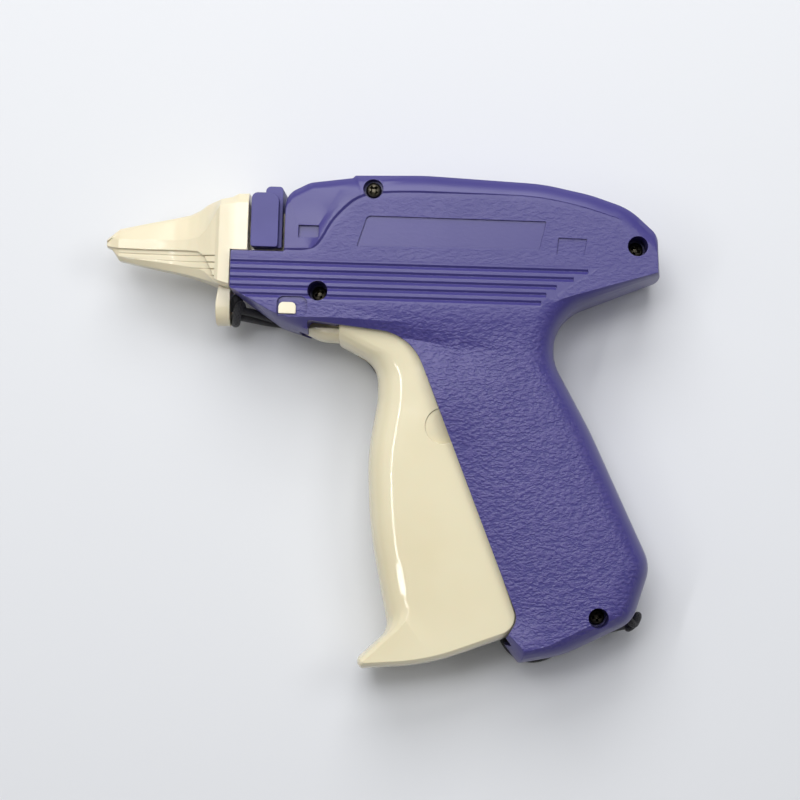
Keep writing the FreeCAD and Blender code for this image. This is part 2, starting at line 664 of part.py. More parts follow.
# ------------------------------------------------------------------ trigger and drive
def curve_between(points):
    """Returns an edge curving smoothly through the points."""
    curve = Part.BSplineCurve()
    curve.interpolate(points)
    return curve.toShape()


def slot_shape(path, radius, low, high):
    """Returns a round-ended slot of one width whose middle follows the path."""
    lefts, rights = [], []
    for k, (x, y) in enumerate(path):
        before, after = path[max(k - 1, 0)], path[min(k + 1, len(path) - 1)]
        ux, uy = unit(after[0] - before[0], after[1] - before[1])
        lefts.append(Vector(x - uy * radius, y + ux * radius, low))
        rights.append(Vector(x + uy * radius, y - ux * radius, low))
    sx, sy = unit(path[0][0] - path[1][0], path[0][1] - path[1][1])
    ex, ey = unit(path[-1][0] - path[-2][0], path[-1][1] - path[-2][1])
    start_tip = Vector(path[0][0] + sx * radius, path[0][1] + sy * radius, low)
    end_tip = Vector(path[-1][0] + ex * radius, path[-1][1] + ey * radius, low)
    start_cap = Part.Arc(lefts[0], start_tip, rights[0]).toShape()
    end_cap = Part.Arc(rights[-1], end_tip, lefts[-1]).toShape()
    wire = Part.Wire([start_cap, curve_between(rights), end_cap, curve_between(lefts[::-1])])
    return Part.Face(wire).extrude(Vector(0, 0, high - low))


def upper_cam_path(extra=0):
    """Returns where the slider's pin runs in the lever, which gives even travel for even swing."""
    path = []
    for k in range(9 + extra):
        share = k / 8
        pin = (LEVER_AXIS[0] - SLIDER_STROKE * share, SLIDER_PIN_HEIGHT)
        path.append(turned(pin[0], pin[1], -LEVER_ANGLE * share, LEVER_AXIS))
    return path


def lower_cam_path():
    """Returns where the trigger's cross pin runs in the lever."""
    path = []
    for k in range(9):
        share = k / 8
        pin = turned(CROSS_PIN_PLACE[0], CROSS_PIN_PLACE[1], TRIGGER_ANGLE * share)
        path.append(turned(pin[0], pin[1], -LEVER_ANGLE * share, LEVER_AXIS))
    return path


def trigger():
    """Returns the trigger: a channel open to the rear, on a hub round the front screw tube."""
    levels = [share * TRIGGER_HALF for share in TRIGGER_SHARES]
    half = layered_half(TRIGGER_OUTLINE, levels, TRIGGER_INSETS)
    solid = half.fuse(mirrored(half))
    corners = [corner[:3] for corner in TRIGGER_OUTLINE]
    channel_half = TRIGGER_HALF - TRIGGER_WALL
    channels = []
    for half_width, front, brow in ((channel_half, 5.2, 4.2), (channel_half - 2.6, 2.6, 2.6)):
        thicker = {"front": front, "brow": brow}
        walls = [thicker.get(corner[3], TRIGGER_WALL) for corner in TRIGGER_OUTLINE]
        walls[2] = -8.0
        channels.append(prism(drawn_in(corners, walls, walls), -half_width, half_width))
    ears = [post(CROSS_PIN_PLACE, 4.2, channel_half, TRIGGER_HALF),
            post(CROSS_PIN_PLACE, 4.2, -TRIGGER_HALF, -channel_half)]
    cups = [post(CUP_PLACE, CUP_RADIUS + 1.6, channel_half - CUP_DEPTH + 0.6, channel_half + 0.1),
            post(CUP_PLACE, CUP_RADIUS + 1.6, -channel_half - 0.1, -channel_half + CUP_DEPTH - 0.6)]
    neck_levels = [share * HUB_WIDTH / 2 for share in TRIGGER_SHARES]
    neck_half = layered_half(NECK_OUTLINE, neck_levels, TRIGGER_INSETS)
    neck = neck_half.fuse(mirrored(neck_half))
    hub = post((0.0, 0.0), HUB_RADIUS, -HUB_WIDTH / 2, HUB_WIDTH / 2)
    for channel in channels:
        solid = solid.cut(channel)
    solid = solid.multiFuse(ears + cups + [neck, hub])
    tube = post((0.0, 0.0), PIVOT_BOSS_RADIUS + RUNNING_GAP, -MID, MID)
    lever_room = box((11.0, 70.0), (-34.0, -4.0), (-LEVER_THICKNESS / 2 - 0.8, LEVER_THICKNESS / 2 + 0.8))
    pin_hole = post(CROSS_PIN_PLACE, CROSS_PIN_RADIUS + FIT_GAP, -MID, MID)
    strip_half = STRIP_HALF + FIT_GAP
    strip = box((-6.0, STRIP_X[1] + FIT_GAP), (STRIP_Y[0] - FIT_GAP, 9.0), (-strip_half, strip_half))
    for cut in [tube, lever_room, pin_hole, strip] + cup_hollows() + neck_flanks():
        solid = solid.cut(cut)
    return solid


def cup_hollows():
    """Returns the round hollow in each side of the trigger: a shallow crescent and a sloping floor."""
    rim = post(CUP_PLACE, CUP_RADIUS, TRIGGER_HALF - 0.35, MID)
    drum = post(CUP_PLACE, CUP_RADIUS, TRIGGER_HALF - CUP_DEPTH, MID)
    lean = unit(CUP_LINE[1][0] - CUP_LINE[0][0], CUP_LINE[1][1] - CUP_LINE[0][1])
    right = (-lean[1], lean[0])
    start = (CUP_LINE[0][0] - 8 * lean[0], CUP_LINE[0][1] - 8 * lean[1])
    deep = (start[0] + 10 * right[0], start[1] + 10 * right[1])
    floor = TRIGGER_HALF - CUP_DEPTH
    slope = [Vector(start[0], start[1], TRIGGER_HALF - 0.35), Vector(deep[0], deep[1], floor),
             Vector(deep[0], deep[1], MID), Vector(start[0], start[1], MID)]
    above = Part.Face(Part.makePolygon(slope + slope[:1])).extrude(Vector(22 * lean[0], 22 * lean[1], 0))
    hollow = rim.fuse(drum.common(above))
    return [hollow, mirrored(hollow)]


def neck_flanks():
    """Returns what is cut off the neck's flanks below the hub, so that only its foot is full width."""
    reach, web = HUB_WIDTH / 2 + 1.0, 3.6
    profile = [(-6.0, -10.2), (-3.0, -9.5), (1.0, -9.2), (5.85, -9.4), (5.85, -5.7), (-6.0, -5.7)]
    side = polygon_prism(profile, web, reach)
    return [side, mirrored(side)]


def trigger_cross_pin():
    """Returns the pin across the trigger's ears."""
    return post(CROSS_PIN_PLACE, CROSS_PIN_RADIUS, -TRIGGER_HALF + 0.1, TRIGGER_HALF - 0.1)


def cross_roller():
    """Returns the bush on the cross pin that runs in the lever's lower slot."""
    reach = LEVER_THICKNESS / 2 + 0.5
    ring = post(CROSS_PIN_PLACE, ROLLER_RADIUS, -reach, reach)
    return ring.cut(post(CROSS_PIN_PLACE, CROSS_PIN_RADIUS + FIT_GAP, -reach, reach))


def drive_lever():
    """Returns the lever plate: a hub, a forked upper arm and a slotted lower arm."""
    half = LEVER_THICKNESS / 2
    x, y = LEVER_AXIS
    hub = post(LEVER_AXIS, LEVER_HUB_RADIUS, -half, half)
    arm = polygon_prism([(x - 5.0, y), (x + 4.6, y), (x + 3.0, y + 18.0), (x + 3.0, y + 42.0),
                         (x - 5.2, y + 42.0)], -half, half)
    fork = [(3.2, 38.0, 1.0), (3.9, 50.0, 4.0), (5.0, 66.0, 1.0), (-5.0, 66.0, 1.0), (-8.1, 53.0, 6.0),
            (-8.1, 45.0, 4.0), (-5.2, 38.0, 2.0)]
    head = prism([(x + dx, y + dy, radius) for dx, dy, radius in fork], -half, half)
    reach = post(LEVER_AXIS, LEVER_REACH, -half - 1, half + 1)
    lower = slot_shape(lower_cam_path(), ROLLER_RADIUS + CAM_GAP + 2.3, -half, half)
    web = polygon_prism([(x - 5.4, y + 1.0), (x - 9.0, y - 16.0), (x - 2.0, y - 16.0), (x + 5.0, y - 1.0)],
                        -half, half)
    solid = hub.multiFuse([arm, head, lower, web]).common(reach)
    upper_slot = slot_shape(upper_cam_path(1), SLIDER_PIN_RADIUS + CAM_GAP, -half - 1, half + 1)
    lower_slot = slot_shape(lower_cam_path(), ROLLER_RADIUS + CAM_GAP, -half - 1, half + 1)
    bore = post(LEVER_AXIS, LEVER_PIN_RADIUS + RUNNING_GAP, -half - 1, half + 1)
    return solid.cut(upper_slot).cut(lower_slot).cut(bore)


def lever_pin():
    """Returns the lever's axle, pressed into both shells."""
    return post(LEVER_AXIS, LEVER_PIN_RADIUS, -INNER + 1.1, INNER - 1.1)


def lever_spacers():
    """Returns the two washers that keep the lever in the middle."""
    low, high = LEVER_THICKNESS / 2 + 0.15, LEVER_THICKNESS / 2 + SPACER_THICKNESS - 0.02
    ring = post(LEVER_AXIS, LEVER_BOSS_RADIUS, low, high)
    ring = ring.cut(post(LEVER_AXIS, LEVER_PIN_RADIUS + FIT_GAP, low, high))
    return Part.makeCompound([ring, mirrored(ring)])


def lever_spring():
    """Returns the lever's torsion spring: a coil round the left boss with two straight ends."""
    wire, radius, pitch, turns = 0.4, LEVER_BOSS_RADIUS + 0.9, 0.95, 3.0
    start = LEVER_THICKNESS / 2 + wire + 0.1
    path = Part.Wire(Part.makeHelix(pitch, pitch * turns, radius).Edges)
    profile = Part.Wire(Part.makeCircle(wire, Vector(radius, 0, 0), Vector(0, 1, 0)))
    coil = path.makePipeShell([profile], True, True)
    end_low = Part.makeCylinder(wire, 11.0, Vector(radius, 0, 0), Vector(0, -1, 0))
    end_high = Part.makeCylinder(wire, 11.0, Vector(radius, 0, pitch * turns), Vector(0, 1, 0))
    solid = coil.multiFuse([end_low, end_high])
    solid.translate(Vector(LEVER_AXIS[0], LEVER_AXIS[1], start))
    return solid


def slider():
    """Returns the slider: two cheeks either side of the lever, joined at the front and rear."""
    x, half = SLIDER_PIN_REST, SLIDER_WIDTH / 2
    slit_half = half - SLIDER_CHEEK
    solid = box((x - SLIDER_FRONT, x + SLIDER_REAR), (SLIDER_BOTTOM, SLIDER_TOP), (-half, half))
    slit = box((x - SLIT_FRONT, x + SLIT_REAR), (SLIDER_BOTTOM - 1, SLIDER_TOP + 1), (-slit_half, slit_half))
    pin_hole = post((x, SLIDER_PIN_HEIGHT), SLIDER_PIN_RADIUS + FIT_GAP, -half - 1, half + 1)
    rod_reach = (x - SLIDER_FRONT - 1, x - SLIT_FRONT - 0.6)
    rod_hole = bar_along_x(ROD_RADIUS + FIT_GAP, rod_reach, NEEDLE_HEIGHT, 0)
    front_cut = polygon_prism([(x - SLIDER_FRONT - 1, 17.5), (x - SLIDER_FRONT + 3.5, SLIDER_TOP + 0.2),
                               (x - SLIDER_FRONT - 1, SLIDER_TOP + 1)], -half - 1, half + 1)
    return solid.cut(slit).cut(pin_hole).cut(rod_hole).cut(front_cut)


def slider_pin():
    """Returns the pin through the slider's cheeks that the lever's fork drives."""
    half = SLIDER_WIDTH / 2 - 0.1
    return post((SLIDER_PIN_REST, SLIDER_PIN_HEIGHT), SLIDER_PIN_RADIUS, -half, half)


def push_rod():
    """Returns the rod that pushes a fastener out through the needle."""
    return bar_along_x(ROD_RADIUS, (ROD_TIP, SLIDER_PIN_REST - SLIT_FRONT - 0.8), NEEDLE_HEIGHT, 0)


def rear_bumper():
    """Returns the pad that the slider comes back against."""
    rear = SLIDER_PIN_REST + SLIDER_REAR
    return box((rear + PART_GAP, rear + 3.15), (9.0, 20.0), (-4.0, 4.0))


# ------------------------------------------------------------------ fastener feed and needle
def needle_holder():
    """Returns the cream block at the front of the upper body that the needle plugs into."""
    half = HOLDER_WIDTH / 2
    rear_block = box((HOLDER_SHOULDER, HOLDER_REAR), (NOSE_TOP + FIT_GAP, HOLDER_TOP), (-half, half))
    plug = box((HOLDER_FRONT, HOLDER_SHOULDER), (NOSE_TOP + 0.1, PLUG_TOP), (-half, half))
    solid = rear_block.fuse(plug)
    base_half = BASE_WIDTH / 2 + FIT_GAP
    tongue_half = TONGUE_HALF + SLIDE_GAP
    tongue_x = (TONGUE_X[0] - SLIDE_GAP, TONGUE_X[1] + SLIDE_GAP)
    base_top = BASE_BOTTOM + BASE_HEIGHT + FIT_GAP
    cuts = [
        box(CLIP_SLOT_X, (CLIP_SLOT_FLOOR, HOLDER_TOP + 8), (-CLIP_SLOT_WIDTH / 2, CLIP_SLOT_WIDTH / 2)),
        bar_along_x(ROD_RADIUS + 0.35, (-20.0, 0.0), NEEDLE_HEIGHT, 0),
        post(WHEEL_PLACE, WHEEL_RADIUS + 0.4, -WHEEL_THICKNESS / 2 - 0.4, WHEEL_THICKNESS / 2 + 0.4),
        box((HOLDER_FRONT - 1, BASE_REAR + FIT_GAP), (NOSE_TOP - 2, base_top), (-base_half, base_half)),
        box(tongue_x, (NEEDLE_HEIGHT, HOLDER_TOP + 8), (-tongue_half, tongue_half)),
    ]
    for cut in cuts:
        solid = solid.cut(cut)
    return solid


def needle_base():
    """Returns the block moulded on the needle, notched for the lock."""
    half = BASE_WIDTH / 2
    solid = box((BASE_FRONT, BASE_REAR), (BASE_BOTTOM, BASE_BOTTOM + BASE_HEIGHT), (-half, half))
    bore = bar_along_x(NEEDLE_RADIUS + FIT_GAP, (BASE_FRONT - 1, -13.0), NEEDLE_HEIGHT, 0)
    rod_bore = bar_along_x(ROD_RADIUS + 0.35, (-14.0, BASE_REAR + 1), NEEDLE_HEIGHT, 0)
    notch_x = (TONGUE_X[0] - SLIDE_GAP, TONGUE_X[1] + SLIDE_GAP)
    notch = box(notch_x, (NOTCH_FLOOR, NOTCH_FLOOR + BASE_HEIGHT), (-half - 1, half + 1))
    return solid.cut(bore).cut(rod_bore).cut(notch)


def needle():
    """Returns the hollow needle, slit along its top, with a slanted tip."""
    tube = bar_along_x(NEEDLE_RADIUS, (NEEDLE_TIP, -13.02), NEEDLE_HEIGHT, 0)
    tube = tube.cut(bar_along_x(NEEDLE_BORE, (NEEDLE_TIP - 1, -12.0), NEEDLE_HEIGHT, 0))
    slit = box((NEEDLE_TIP - 1, BASE_FRONT - 1.0), (NEEDLE_HEIGHT, NEEDLE_HEIGHT + 3), (-0.4, 0.4))
    slant = polygon_prism([(NEEDLE_TIP - 1, NEEDLE_HEIGHT - 0.6), (NEEDLE_TIP + 5.2, NEEDLE_HEIGHT + 2),
                           (NEEDLE_TIP - 1, NEEDLE_HEIGHT + 2)], -3, 3)
    return tube.cut(slit).cut(slant)


def lock_spring():
    """Returns the leaf beside the holder that steadies the locking slide."""
    outer_face = HOLDER_WIDTH / 2
    reach = (NOSE_TOP + 2.0, NOSE_TOP + 9.8)
    flat = box((-17.6, -12.2), reach, (outer_face + 0.02, outer_face + 0.4))
    bump = post((0.0, 0.0), 1.2, -2.4, 2.4)
    bump.rotate(Vector(0, 0, 0), Vector(0, 1, 0), 90)
    bump.translate(Vector(-14.9, NOSE_TOP + 7.0, outer_face - 0.55))
    return flat.fuse(bump.common(box((-20, -10), reach, (outer_face + 0.02, outer_face + 2))))


def needle_lock_slide():
    """Returns the locking slide that straddles the holder and catches the needle's base.

    It is a rounded pad on each flank over a taller slab whose top edge is the crown.
    """
    inner = HOLDER_WIDTH / 2 + 1.0
    left, right = MID - KNOB_SIDE_GAP, -(MID - RIGHT_NOSE_RELIEF - 0.6)
    low, high = KNOB_LEG_Y
    front, rear = KNOB_X
    pad = prism([(front, low, 0.7), (rear, low, 0.7), (rear, high, 2.4), (front, high, 1.7)], right, left)
    slab_x, crown = KNOB_SLAB_X, KNOB_CROWN_TOP
    slab = prism([(slab_x[0], low, 0.4), (slab_x[1], low, 0.4), (slab_x[1], crown, 0.9),
                  (slab_x[0], crown, 1.4)], right + KNOB_SLAB_SINK, left - KNOB_SLAB_SINK)
    for end, sign in ((left, 1), (right, -1)):
        bevel = [Vector(front - 1, low - 1, end + sign), Vector(front + 0.9, low - 1, end + sign),
                 Vector(front - 1, low - 1, end - sign * 0.9)]
        pad = pad.cut(Part.Face(Part.makePolygon(bevel + bevel[:1])).extrude(Vector(0, 40, 0)))
    tongue = box(TONGUE_X, (NOTCH_FLOOR + 0.3, HOLDER_TOP + 1.0), (-TONGUE_HALF, TONGUE_HALF))
    room = box((-30, 0), (0.0, HOLDER_TOP + SLIDE_GAP), (-inner, inner))
    return pad.fuse(slab).cut(room).fuse(tongue)


def feed_wheel():
    """Returns the toothed wheel that draws the fastener strip down."""
    points = []
    for k in range(WHEEL_TEETH):
        angle = 2 * math.pi * k / WHEEL_TEETH
        lead = angle + 2 * math.pi * 0.8 / WHEEL_TEETH
        points.append((WHEEL_PLACE[0] + (WHEEL_RADIUS - 0.7) * math.cos(angle),
                       WHEEL_PLACE[1] + (WHEEL_RADIUS - 0.7) * math.sin(angle)))
        points.append((WHEEL_PLACE[0] + WHEEL_RADIUS * math.cos(lead),
                       WHEEL_PLACE[1] + WHEEL_RADIUS * math.sin(lead)))
    half = WHEEL_THICKNESS / 2
    bore = post(WHEEL_PLACE, WHEEL_AXLE_RADIUS + RUNNING_GAP, -half, half)
    return polygon_prism(points, -half, half).cut(bore)


def feed_axle():
    """Returns the feed wheel's axle, pressed into both shells."""
    return post(WHEEL_PLACE, WHEEL_AXLE_RADIUS, -(MID - RIGHT_NOSE_RELIEF) + 1.1, INNER - 1.1)


def feed_pawl():
    """Returns the spring strip on the trigger's hub that nudges the feed wheel."""
    return box(STRIP_X, STRIP_Y, (-STRIP_HALF, STRIP_HALF))


def clip_release_button():
    """Returns the button on the left side, with an arched top and a stem through the wall."""
    (left, right), (bottom, top) = BUTTON_X, BUTTON_Y
    corners = [(left, bottom, 0.3), (right, bottom, 0.3), (right, top, 1.3), (left, top, 1.3)]
    cap = prism(corners, MID - 1.4, MID - BUTTON_SINK)
    stem_x = (left + 0.4, left + 0.4 + STEM_WIDTH)
    stem = box(stem_x, (bottom + 1.2, top - 0.6), (PAWL_HALF + FIT_GAP, MID - 1.3))
    return cap.fuse(stem)


def release_pawl():
    """Returns the pawl that the button draws back from the feed wheel."""
    tail = box((-11.0, -9.1), (-4.6, 2.2), (-PAWL_HALF, PAWL_HALF))
    tooth = polygon_prism([(-11.0, 2.0), (-9.1, 2.0), (-9.1, 3.8), (-9.8, 3.8)], -PAWL_HALF, PAWL_HALF)
    foot = box((-11.0, -7.6), (-5.2, -3.8), (-PAWL_HALF, PAWL_HALF))
    return tail.multiFuse([tooth, foot])


def release_spring():
    """Returns the bent leaf behind the pawl."""
    leaf = [(-9.08, 1.8), (-8.78, 1.8), (-8.0, -0.6), (-8.6, -2.9), (-9.08, -2.9), (-8.35, -0.6)]
    return polygon_prism(leaf[::-1], -PAWL_HALF + 0.2, PAWL_HALF - 0.2)


# ------------------------------------------------------------------ needle cover
def cover_wire(section):
    """Returns a cover section as a closed wire across X."""
    x, bottom, step, crease, top, half, ridge = section
    side = [(bottom, half - 2.2), (bottom + 0.35 * (step - bottom), half - 0.9), (step, half - LEDGE),
            (step + 0.25, half), (crease, half - 0.15), (top - 0.7, ridge + 0.9), (top, ridge)]
    left = [Vector(x, NEEDLE_HEIGHT + y, z) for y, z in side]
    right = [Vector(x, NEEDLE_HEIGHT + y, -z) for y, z in side[::-1]]
    ring = left + right
    return Part.makePolygon(ring + ring[:1])


def needle_cover():
    """Returns the cream cover over the needle, with the tether's ring beneath."""
    wires = [cover_wire(section) for section in COVER_SECTIONS]
    solid = wires_to_solid(wires)
    half = HOLDER_WIDTH / 2 + SLIDE_GAP + 0.05
    nose_room = box((NOSE_FRONT - PART_GAP, 0.0), (-5.0, NOSE_TOP + PART_GAP), (-MID, MID))
    plug_room = box((HOLDER_FRONT - 0.4, 0.0), (NOSE_TOP - 0.25, PLUG_TOP + 0.35), (-half, half))
    tunnel = bar_along_x(2.0, (NEEDLE_TIP - 1.6, HOLDER_FRONT), NEEDLE_HEIGHT, 0)
    tab = bar_along_x(RING_RADIUS, RING_X, RING_CENTRE_Y, 0).fuse(
        box(RING_X, (RING_CENTRE_Y, 3.4), (-RING_RADIUS, RING_RADIUS)))
    front, rear = RING_X
    foot = RING_CENTRE_Y - 5.6
    side = prism([(front + 0.1, foot, 1.2), (rear, foot, 0.4), (rear, 4.0, 0.1), (front + 1.0, 4.0, 0.1),
                  (front, RING_CENTRE_Y + 1.0, 6.0)], -MID, MID)
    hole = bar_along_x(RING_HOLE, (RING_X[0] - 1, RING_X[1] + 1), RING_CENTRE_Y, 0)
    sleeve = box((-33.0, NOSE_FRONT + 2), (NOSE_TOP - 2.0, NOSE_TOP + 11.0), (-6.4, 6.4))
    rear_hollow = box((-29.0, NOSE_FRONT + 1), (4.4, NOSE_TOP + 11.4), (-8.2, 8.2)).cut(sleeve)
    solid = solid.fuse(tab.common(side))
    for cut in [nose_room, plug_room, tunnel, hole, rear_hollow] + cover_lines():
        solid = solid.cut(cut)
    return solid


def wires_to_solid(wires):
    """Returns the solid that joins a row of matching closed wires with flat-ruled sides."""
    solid = Part.makeLoft([wires[0], wires[1]], True, True)
    for k in range(1, len(wires) - 1):
        solid = solid.fuse(Part.makeLoft([wires[k], wires[k + 1]], True, True))
    return solid


def cover_lines():
    """Returns the fine lines that fan out along the lower part of each side of the cover."""
    depth, width, front = 0.22, 0.28, -56.4
    cuts = []
    for k, height in enumerate(LINE_HEIGHTS):
        wires = []
        for section in COVER_SECTIONS[2:10]:
            x, bottom, step, _, _, half, _ = section
            share = (x - front) / (-28.6 - front)
            y = max(height - 2.6 * share * (k + 1) / 4, bottom + 0.3)
            face = half - LEDGE if y > bottom + 0.35 * (step - bottom) else half - 0.9
            low, high = NEEDLE_HEIGHT + y, NEEDLE_HEIGHT + y + width
            floor, over = face - depth, face + 1.2
            groove = [Vector(x, low, floor), Vector(x, high, floor), Vector(x, high, over),
                      Vector(x, low, over)]
            wires.append(Part.makePolygon(groove + groove[:1]))
        line = Part.makeLoft(wires, True, True)
        cuts += [line, mirrored(line)]
    return cuts


# ------------------------------------------------------------------ screws
def screw(place, sink, length):
    """Returns one shell screw: a round head with a cross recess on a plain shank."""
    top = MID - sink
    seat = top - SCREW_HEAD_HEIGHT
    head = post(place, SCREW_HEAD_RADIUS, seat + 0.02, top)
    shank = post(place, SCREW_SHANK_RADIUS, seat - length + 0.2, seat + 0.1)
    x, y = place
    slot_a = box((x - 1.3, x + 1.3), (y - 0.35, y + 0.35), (top - 0.9, top + 1))
    slot_b = box((x - 0.35, x + 0.35), (y - 1.3, y + 1.3), (top - 0.9, top + 1))
    return head.fuse(shank).cut(slot_a).cut(slot_b)


def shell_screws():
    """Returns the three deep-set shell screws."""
    screws = []
    for name in ("front", "rear", "heel"):
        screws.append(screw(SCREW_PLACES[name], SCREW_HEIGHTS[name], SCREW_LENGTH))
    return Part.makeCompound(screws)


def top_screw():
    """Returns the longer screw in the top band."""
    return screw(SCREW_PLACES["top"], SCREW_HEIGHTS["top"], TOP_SCREW_LENGTH)


# ------------------------------------------------------------------ tether
def cord_path(points, share=0.45):
    """Returns the cord's middle line as a wire of straight runs joined by tangent arcs."""
    route = [Vector(x, y, z - MID) for x, y, z in points]
    edges, here, radii = [], route[0], []
    for k in range(1, len(route) - 1):
        into, out = route[k] - route[k - 1], route[k + 1] - route[k]
        tangent = share * min(into.Length, out.Length)
        a, b = Vector(into), Vector(out)
        a.normalize()
        b.normalize()
        half_turn = a.getAngle(b) / 2
        radius = tangent / math.tan(half_turn)
        start, end = route[k] - a * tangent, route[k] + b * tangent
        inward = b - a
        inward.normalize()
        middle = route[k] + inward * (radius / math.cos(half_turn) - radius)
        edges.append(Part.LineSegment(here, start).toShape())
        edges.append(Part.Arc(start, middle, end).toShape())
        radii.append(round(radius, 1))
        here = end
    edges.append(Part.LineSegment(here, route[-1]).toShape())
    return Part.Wire(edges), radii


def tube_along(points, radius):
    """Returns a round cord along the route, with its length and its bend radii."""
    path, radii = cord_path(points)
    first = path.Edges[0]
    heading = first.tangentAt(first.FirstParameter)
    profile = Part.Wire(Part.makeCircle(radius, first.valueAt(first.FirstParameter), heading))
    return path.makePipeShell([profile], True, True), path.Length, radii


def tether_cord():
    """Returns the limp tether from the cover's hitch, under the body, to the strap hole."""
    cord, length, radii = tube_along(TETHER_ROUTE, TETHER_RADIUS)
    share = cord.Volume / (math.pi * TETHER_RADIUS ** 2 * length)
    print("tether length", round(length, 1), "bend radii", radii, "volume share", round(share, 4))
    return cord


def capsule(start, end, radius):
    """Returns a round-ended rod between two points given above the table."""
    a, b = Vector(start[0], start[1], start[2] - MID), Vector(end[0], end[1], end[2] - MID)
    along = b - a
    rod = Part.makeCylinder(radius, along.Length, a, along)
    return rod.multiFuse([Part.makeSphere(radius, a), Part.makeSphere(radius, b)])


def tether_hitch():
    """Returns the doubled and wrapped end of the tether at the cover's ring."""
    stub = bar_along_x(TETHER_RADIUS, (RING_X[0] + 0.6, RING_X[1] + 1.4), RING_CENTRE_Y, 0)
    strand = capsule((-23.3, -2.5, 15.4), (-23.1, -7.9, 16.6), 1.25)
    loop = capsule((-22.9, -4.0, 17.7), (-22.5, -7.6, 18.7), 1.15)
    tail = capsule((-22.7, -4.8, 15.8), (-18.9, -5.1, 11.0), 1.1)
    wrap = Part.makeTorus(1.75, 0.95, Vector(-22.5, -4.8, 0.7), Vector(0.2, 1.0, 0.1))
    solid = stub.multiFuse([strand, loop, tail, wrap])
    cord, _, _ = tube_along(TETHER_ROUTE, TETHER_RADIUS + 0.02)
    return solid.cut(cord)


def tether_knot():
    """Returns the knot at the strap hole, with the short end that goes into the hole."""
    hole_end = capsule((84.2, -82.3, 15.0), (88.5, -87.5, 14.8), 1.1)
    lobes = [capsule((88.5, -87.5, 14.8), (88.7, -87.6, 9.8), 1.0),
             capsule((89.9, -84.9, 11.6), (89.2, -86.6, 10.2), 0.9),
             capsule((87.6, -88.5, 9.4), (88.7, -87.6, 10.4), 1.1)]
    solid = hole_end.multiFuse(lobes)
    cord, _, _ = tube_along(TETHER_ROUTE, TETHER_RADIUS + 0.02)
    return solid.cut(cord)


def export(name, shape):
    """Moves a finished piece from the drawing to the part's origin and writes it."""
    placed = shape.copy()
    placed.translate(Vector(-LEVER_AXIS[0], -LEVER_AXIS[1], MID))
    placed.exportStep("parts/%s.step" % name)


PIECES = {
    "left_shell": left_shell,
    "right_shell": right_shell,
    "shell_screws": shell_screws,
    "top_screw": top_screw,
    "trigger": trigger,
    "trigger_cross_pin": trigger_cross_pin,
    "cross_roller": cross_roller,
    "drive_lever": drive_lever,
    "lever_pin": lever_pin,
    "lever_spacers": lever_spacers,
    "lever_spring": lever_spring,
    "slider": slider,
    "slider_pin": slider_pin,
    "push_rod": push_rod,
    "rear_bumper": rear_bumper,
    "needle_holder": needle_holder,
    "needle_base": needle_base,
    "needle": needle,
    "lock_spring": lock_spring,
    "needle_lock_slide": needle_lock_slide,
    "needle_cover": needle_cover,
    "clip_release_button": clip_release_button,
    "release_pawl": release_pawl,
    "release_spring": release_spring,
    "feed_wheel": feed_wheel,
    "feed_axle": feed_axle,
    "feed_pawl": feed_pawl,
    "tether_cord": tether_cord,
    "tether_hitch": tether_hitch,
    "tether_knot": tether_knot,
}

for piece_name, build in PIECES.items():
    piece = build()
    print(piece_name, len(piece.Solids), piece.isValid(), round(piece.Volume, 1))
    export(piece_name, piece)
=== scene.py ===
"""Garment tag attacher lying on its right side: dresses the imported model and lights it.

All lengths are in metres in the part's frame: the origin is the drive lever's axis on the right
side's flat, X runs from the needle to the back, Y runs up the tool and Z comes out of its left side.
Places on the drawing are in millimetres from the trigger's axis and the table, and pass through at().
"""
from __future__ import annotations

import logging
import math
import sys
from dataclasses import dataclass, field
from enum import Enum

import bmesh
import bpy
from mathutils import Matrix, Vector

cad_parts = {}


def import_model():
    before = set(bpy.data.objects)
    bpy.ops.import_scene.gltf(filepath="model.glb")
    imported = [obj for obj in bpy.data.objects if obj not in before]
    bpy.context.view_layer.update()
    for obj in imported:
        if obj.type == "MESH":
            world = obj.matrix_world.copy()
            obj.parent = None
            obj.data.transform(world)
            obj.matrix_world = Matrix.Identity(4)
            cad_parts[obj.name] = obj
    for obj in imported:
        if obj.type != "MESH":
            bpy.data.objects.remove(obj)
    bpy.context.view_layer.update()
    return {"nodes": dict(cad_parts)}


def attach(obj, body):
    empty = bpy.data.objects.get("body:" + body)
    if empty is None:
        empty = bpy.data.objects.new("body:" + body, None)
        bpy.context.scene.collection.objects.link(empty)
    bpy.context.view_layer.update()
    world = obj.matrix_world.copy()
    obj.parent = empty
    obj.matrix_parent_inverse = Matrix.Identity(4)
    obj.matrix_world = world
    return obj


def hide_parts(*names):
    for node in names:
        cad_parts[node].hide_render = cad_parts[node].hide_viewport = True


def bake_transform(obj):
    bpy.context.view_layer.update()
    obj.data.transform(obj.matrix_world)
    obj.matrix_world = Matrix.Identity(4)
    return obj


Color = tuple[float, float, float, float]
Socket = bpy.types.NodeSocket
Nodes = dict[str, bpy.types.Object]

LOG = logging.getLogger("tag_attacher")
MM = 0.001
LEVER_AXIS = (57.0, -35.0)      # where the part's frame has its origin on the drawing
JOIN_DISTANCE = 2e-6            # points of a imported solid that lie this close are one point
SHORTEST_EDGE = 1e-6
SHELL_CRISP = 27.0              # degrees that an edge turns before it stays sharp, on the shells,
MOULDING_CRISP = 30.0           # on the small mouldings
FACET_CRISP = 14.0              # and on the needle cover with its flat facets


def at(x: float, y: float, z: float) -> Vector:
    """Returns the point of the part's frame for a place on the drawing in millimetres.

    Args:
        x: Distance behind the trigger's axis.
        y: Height above the trigger's axis.
        z: Height above the table.
    """
    return Vector(((x - LEVER_AXIS[0]) * MM, (y - LEVER_AXIS[1]) * MM, z * MM))


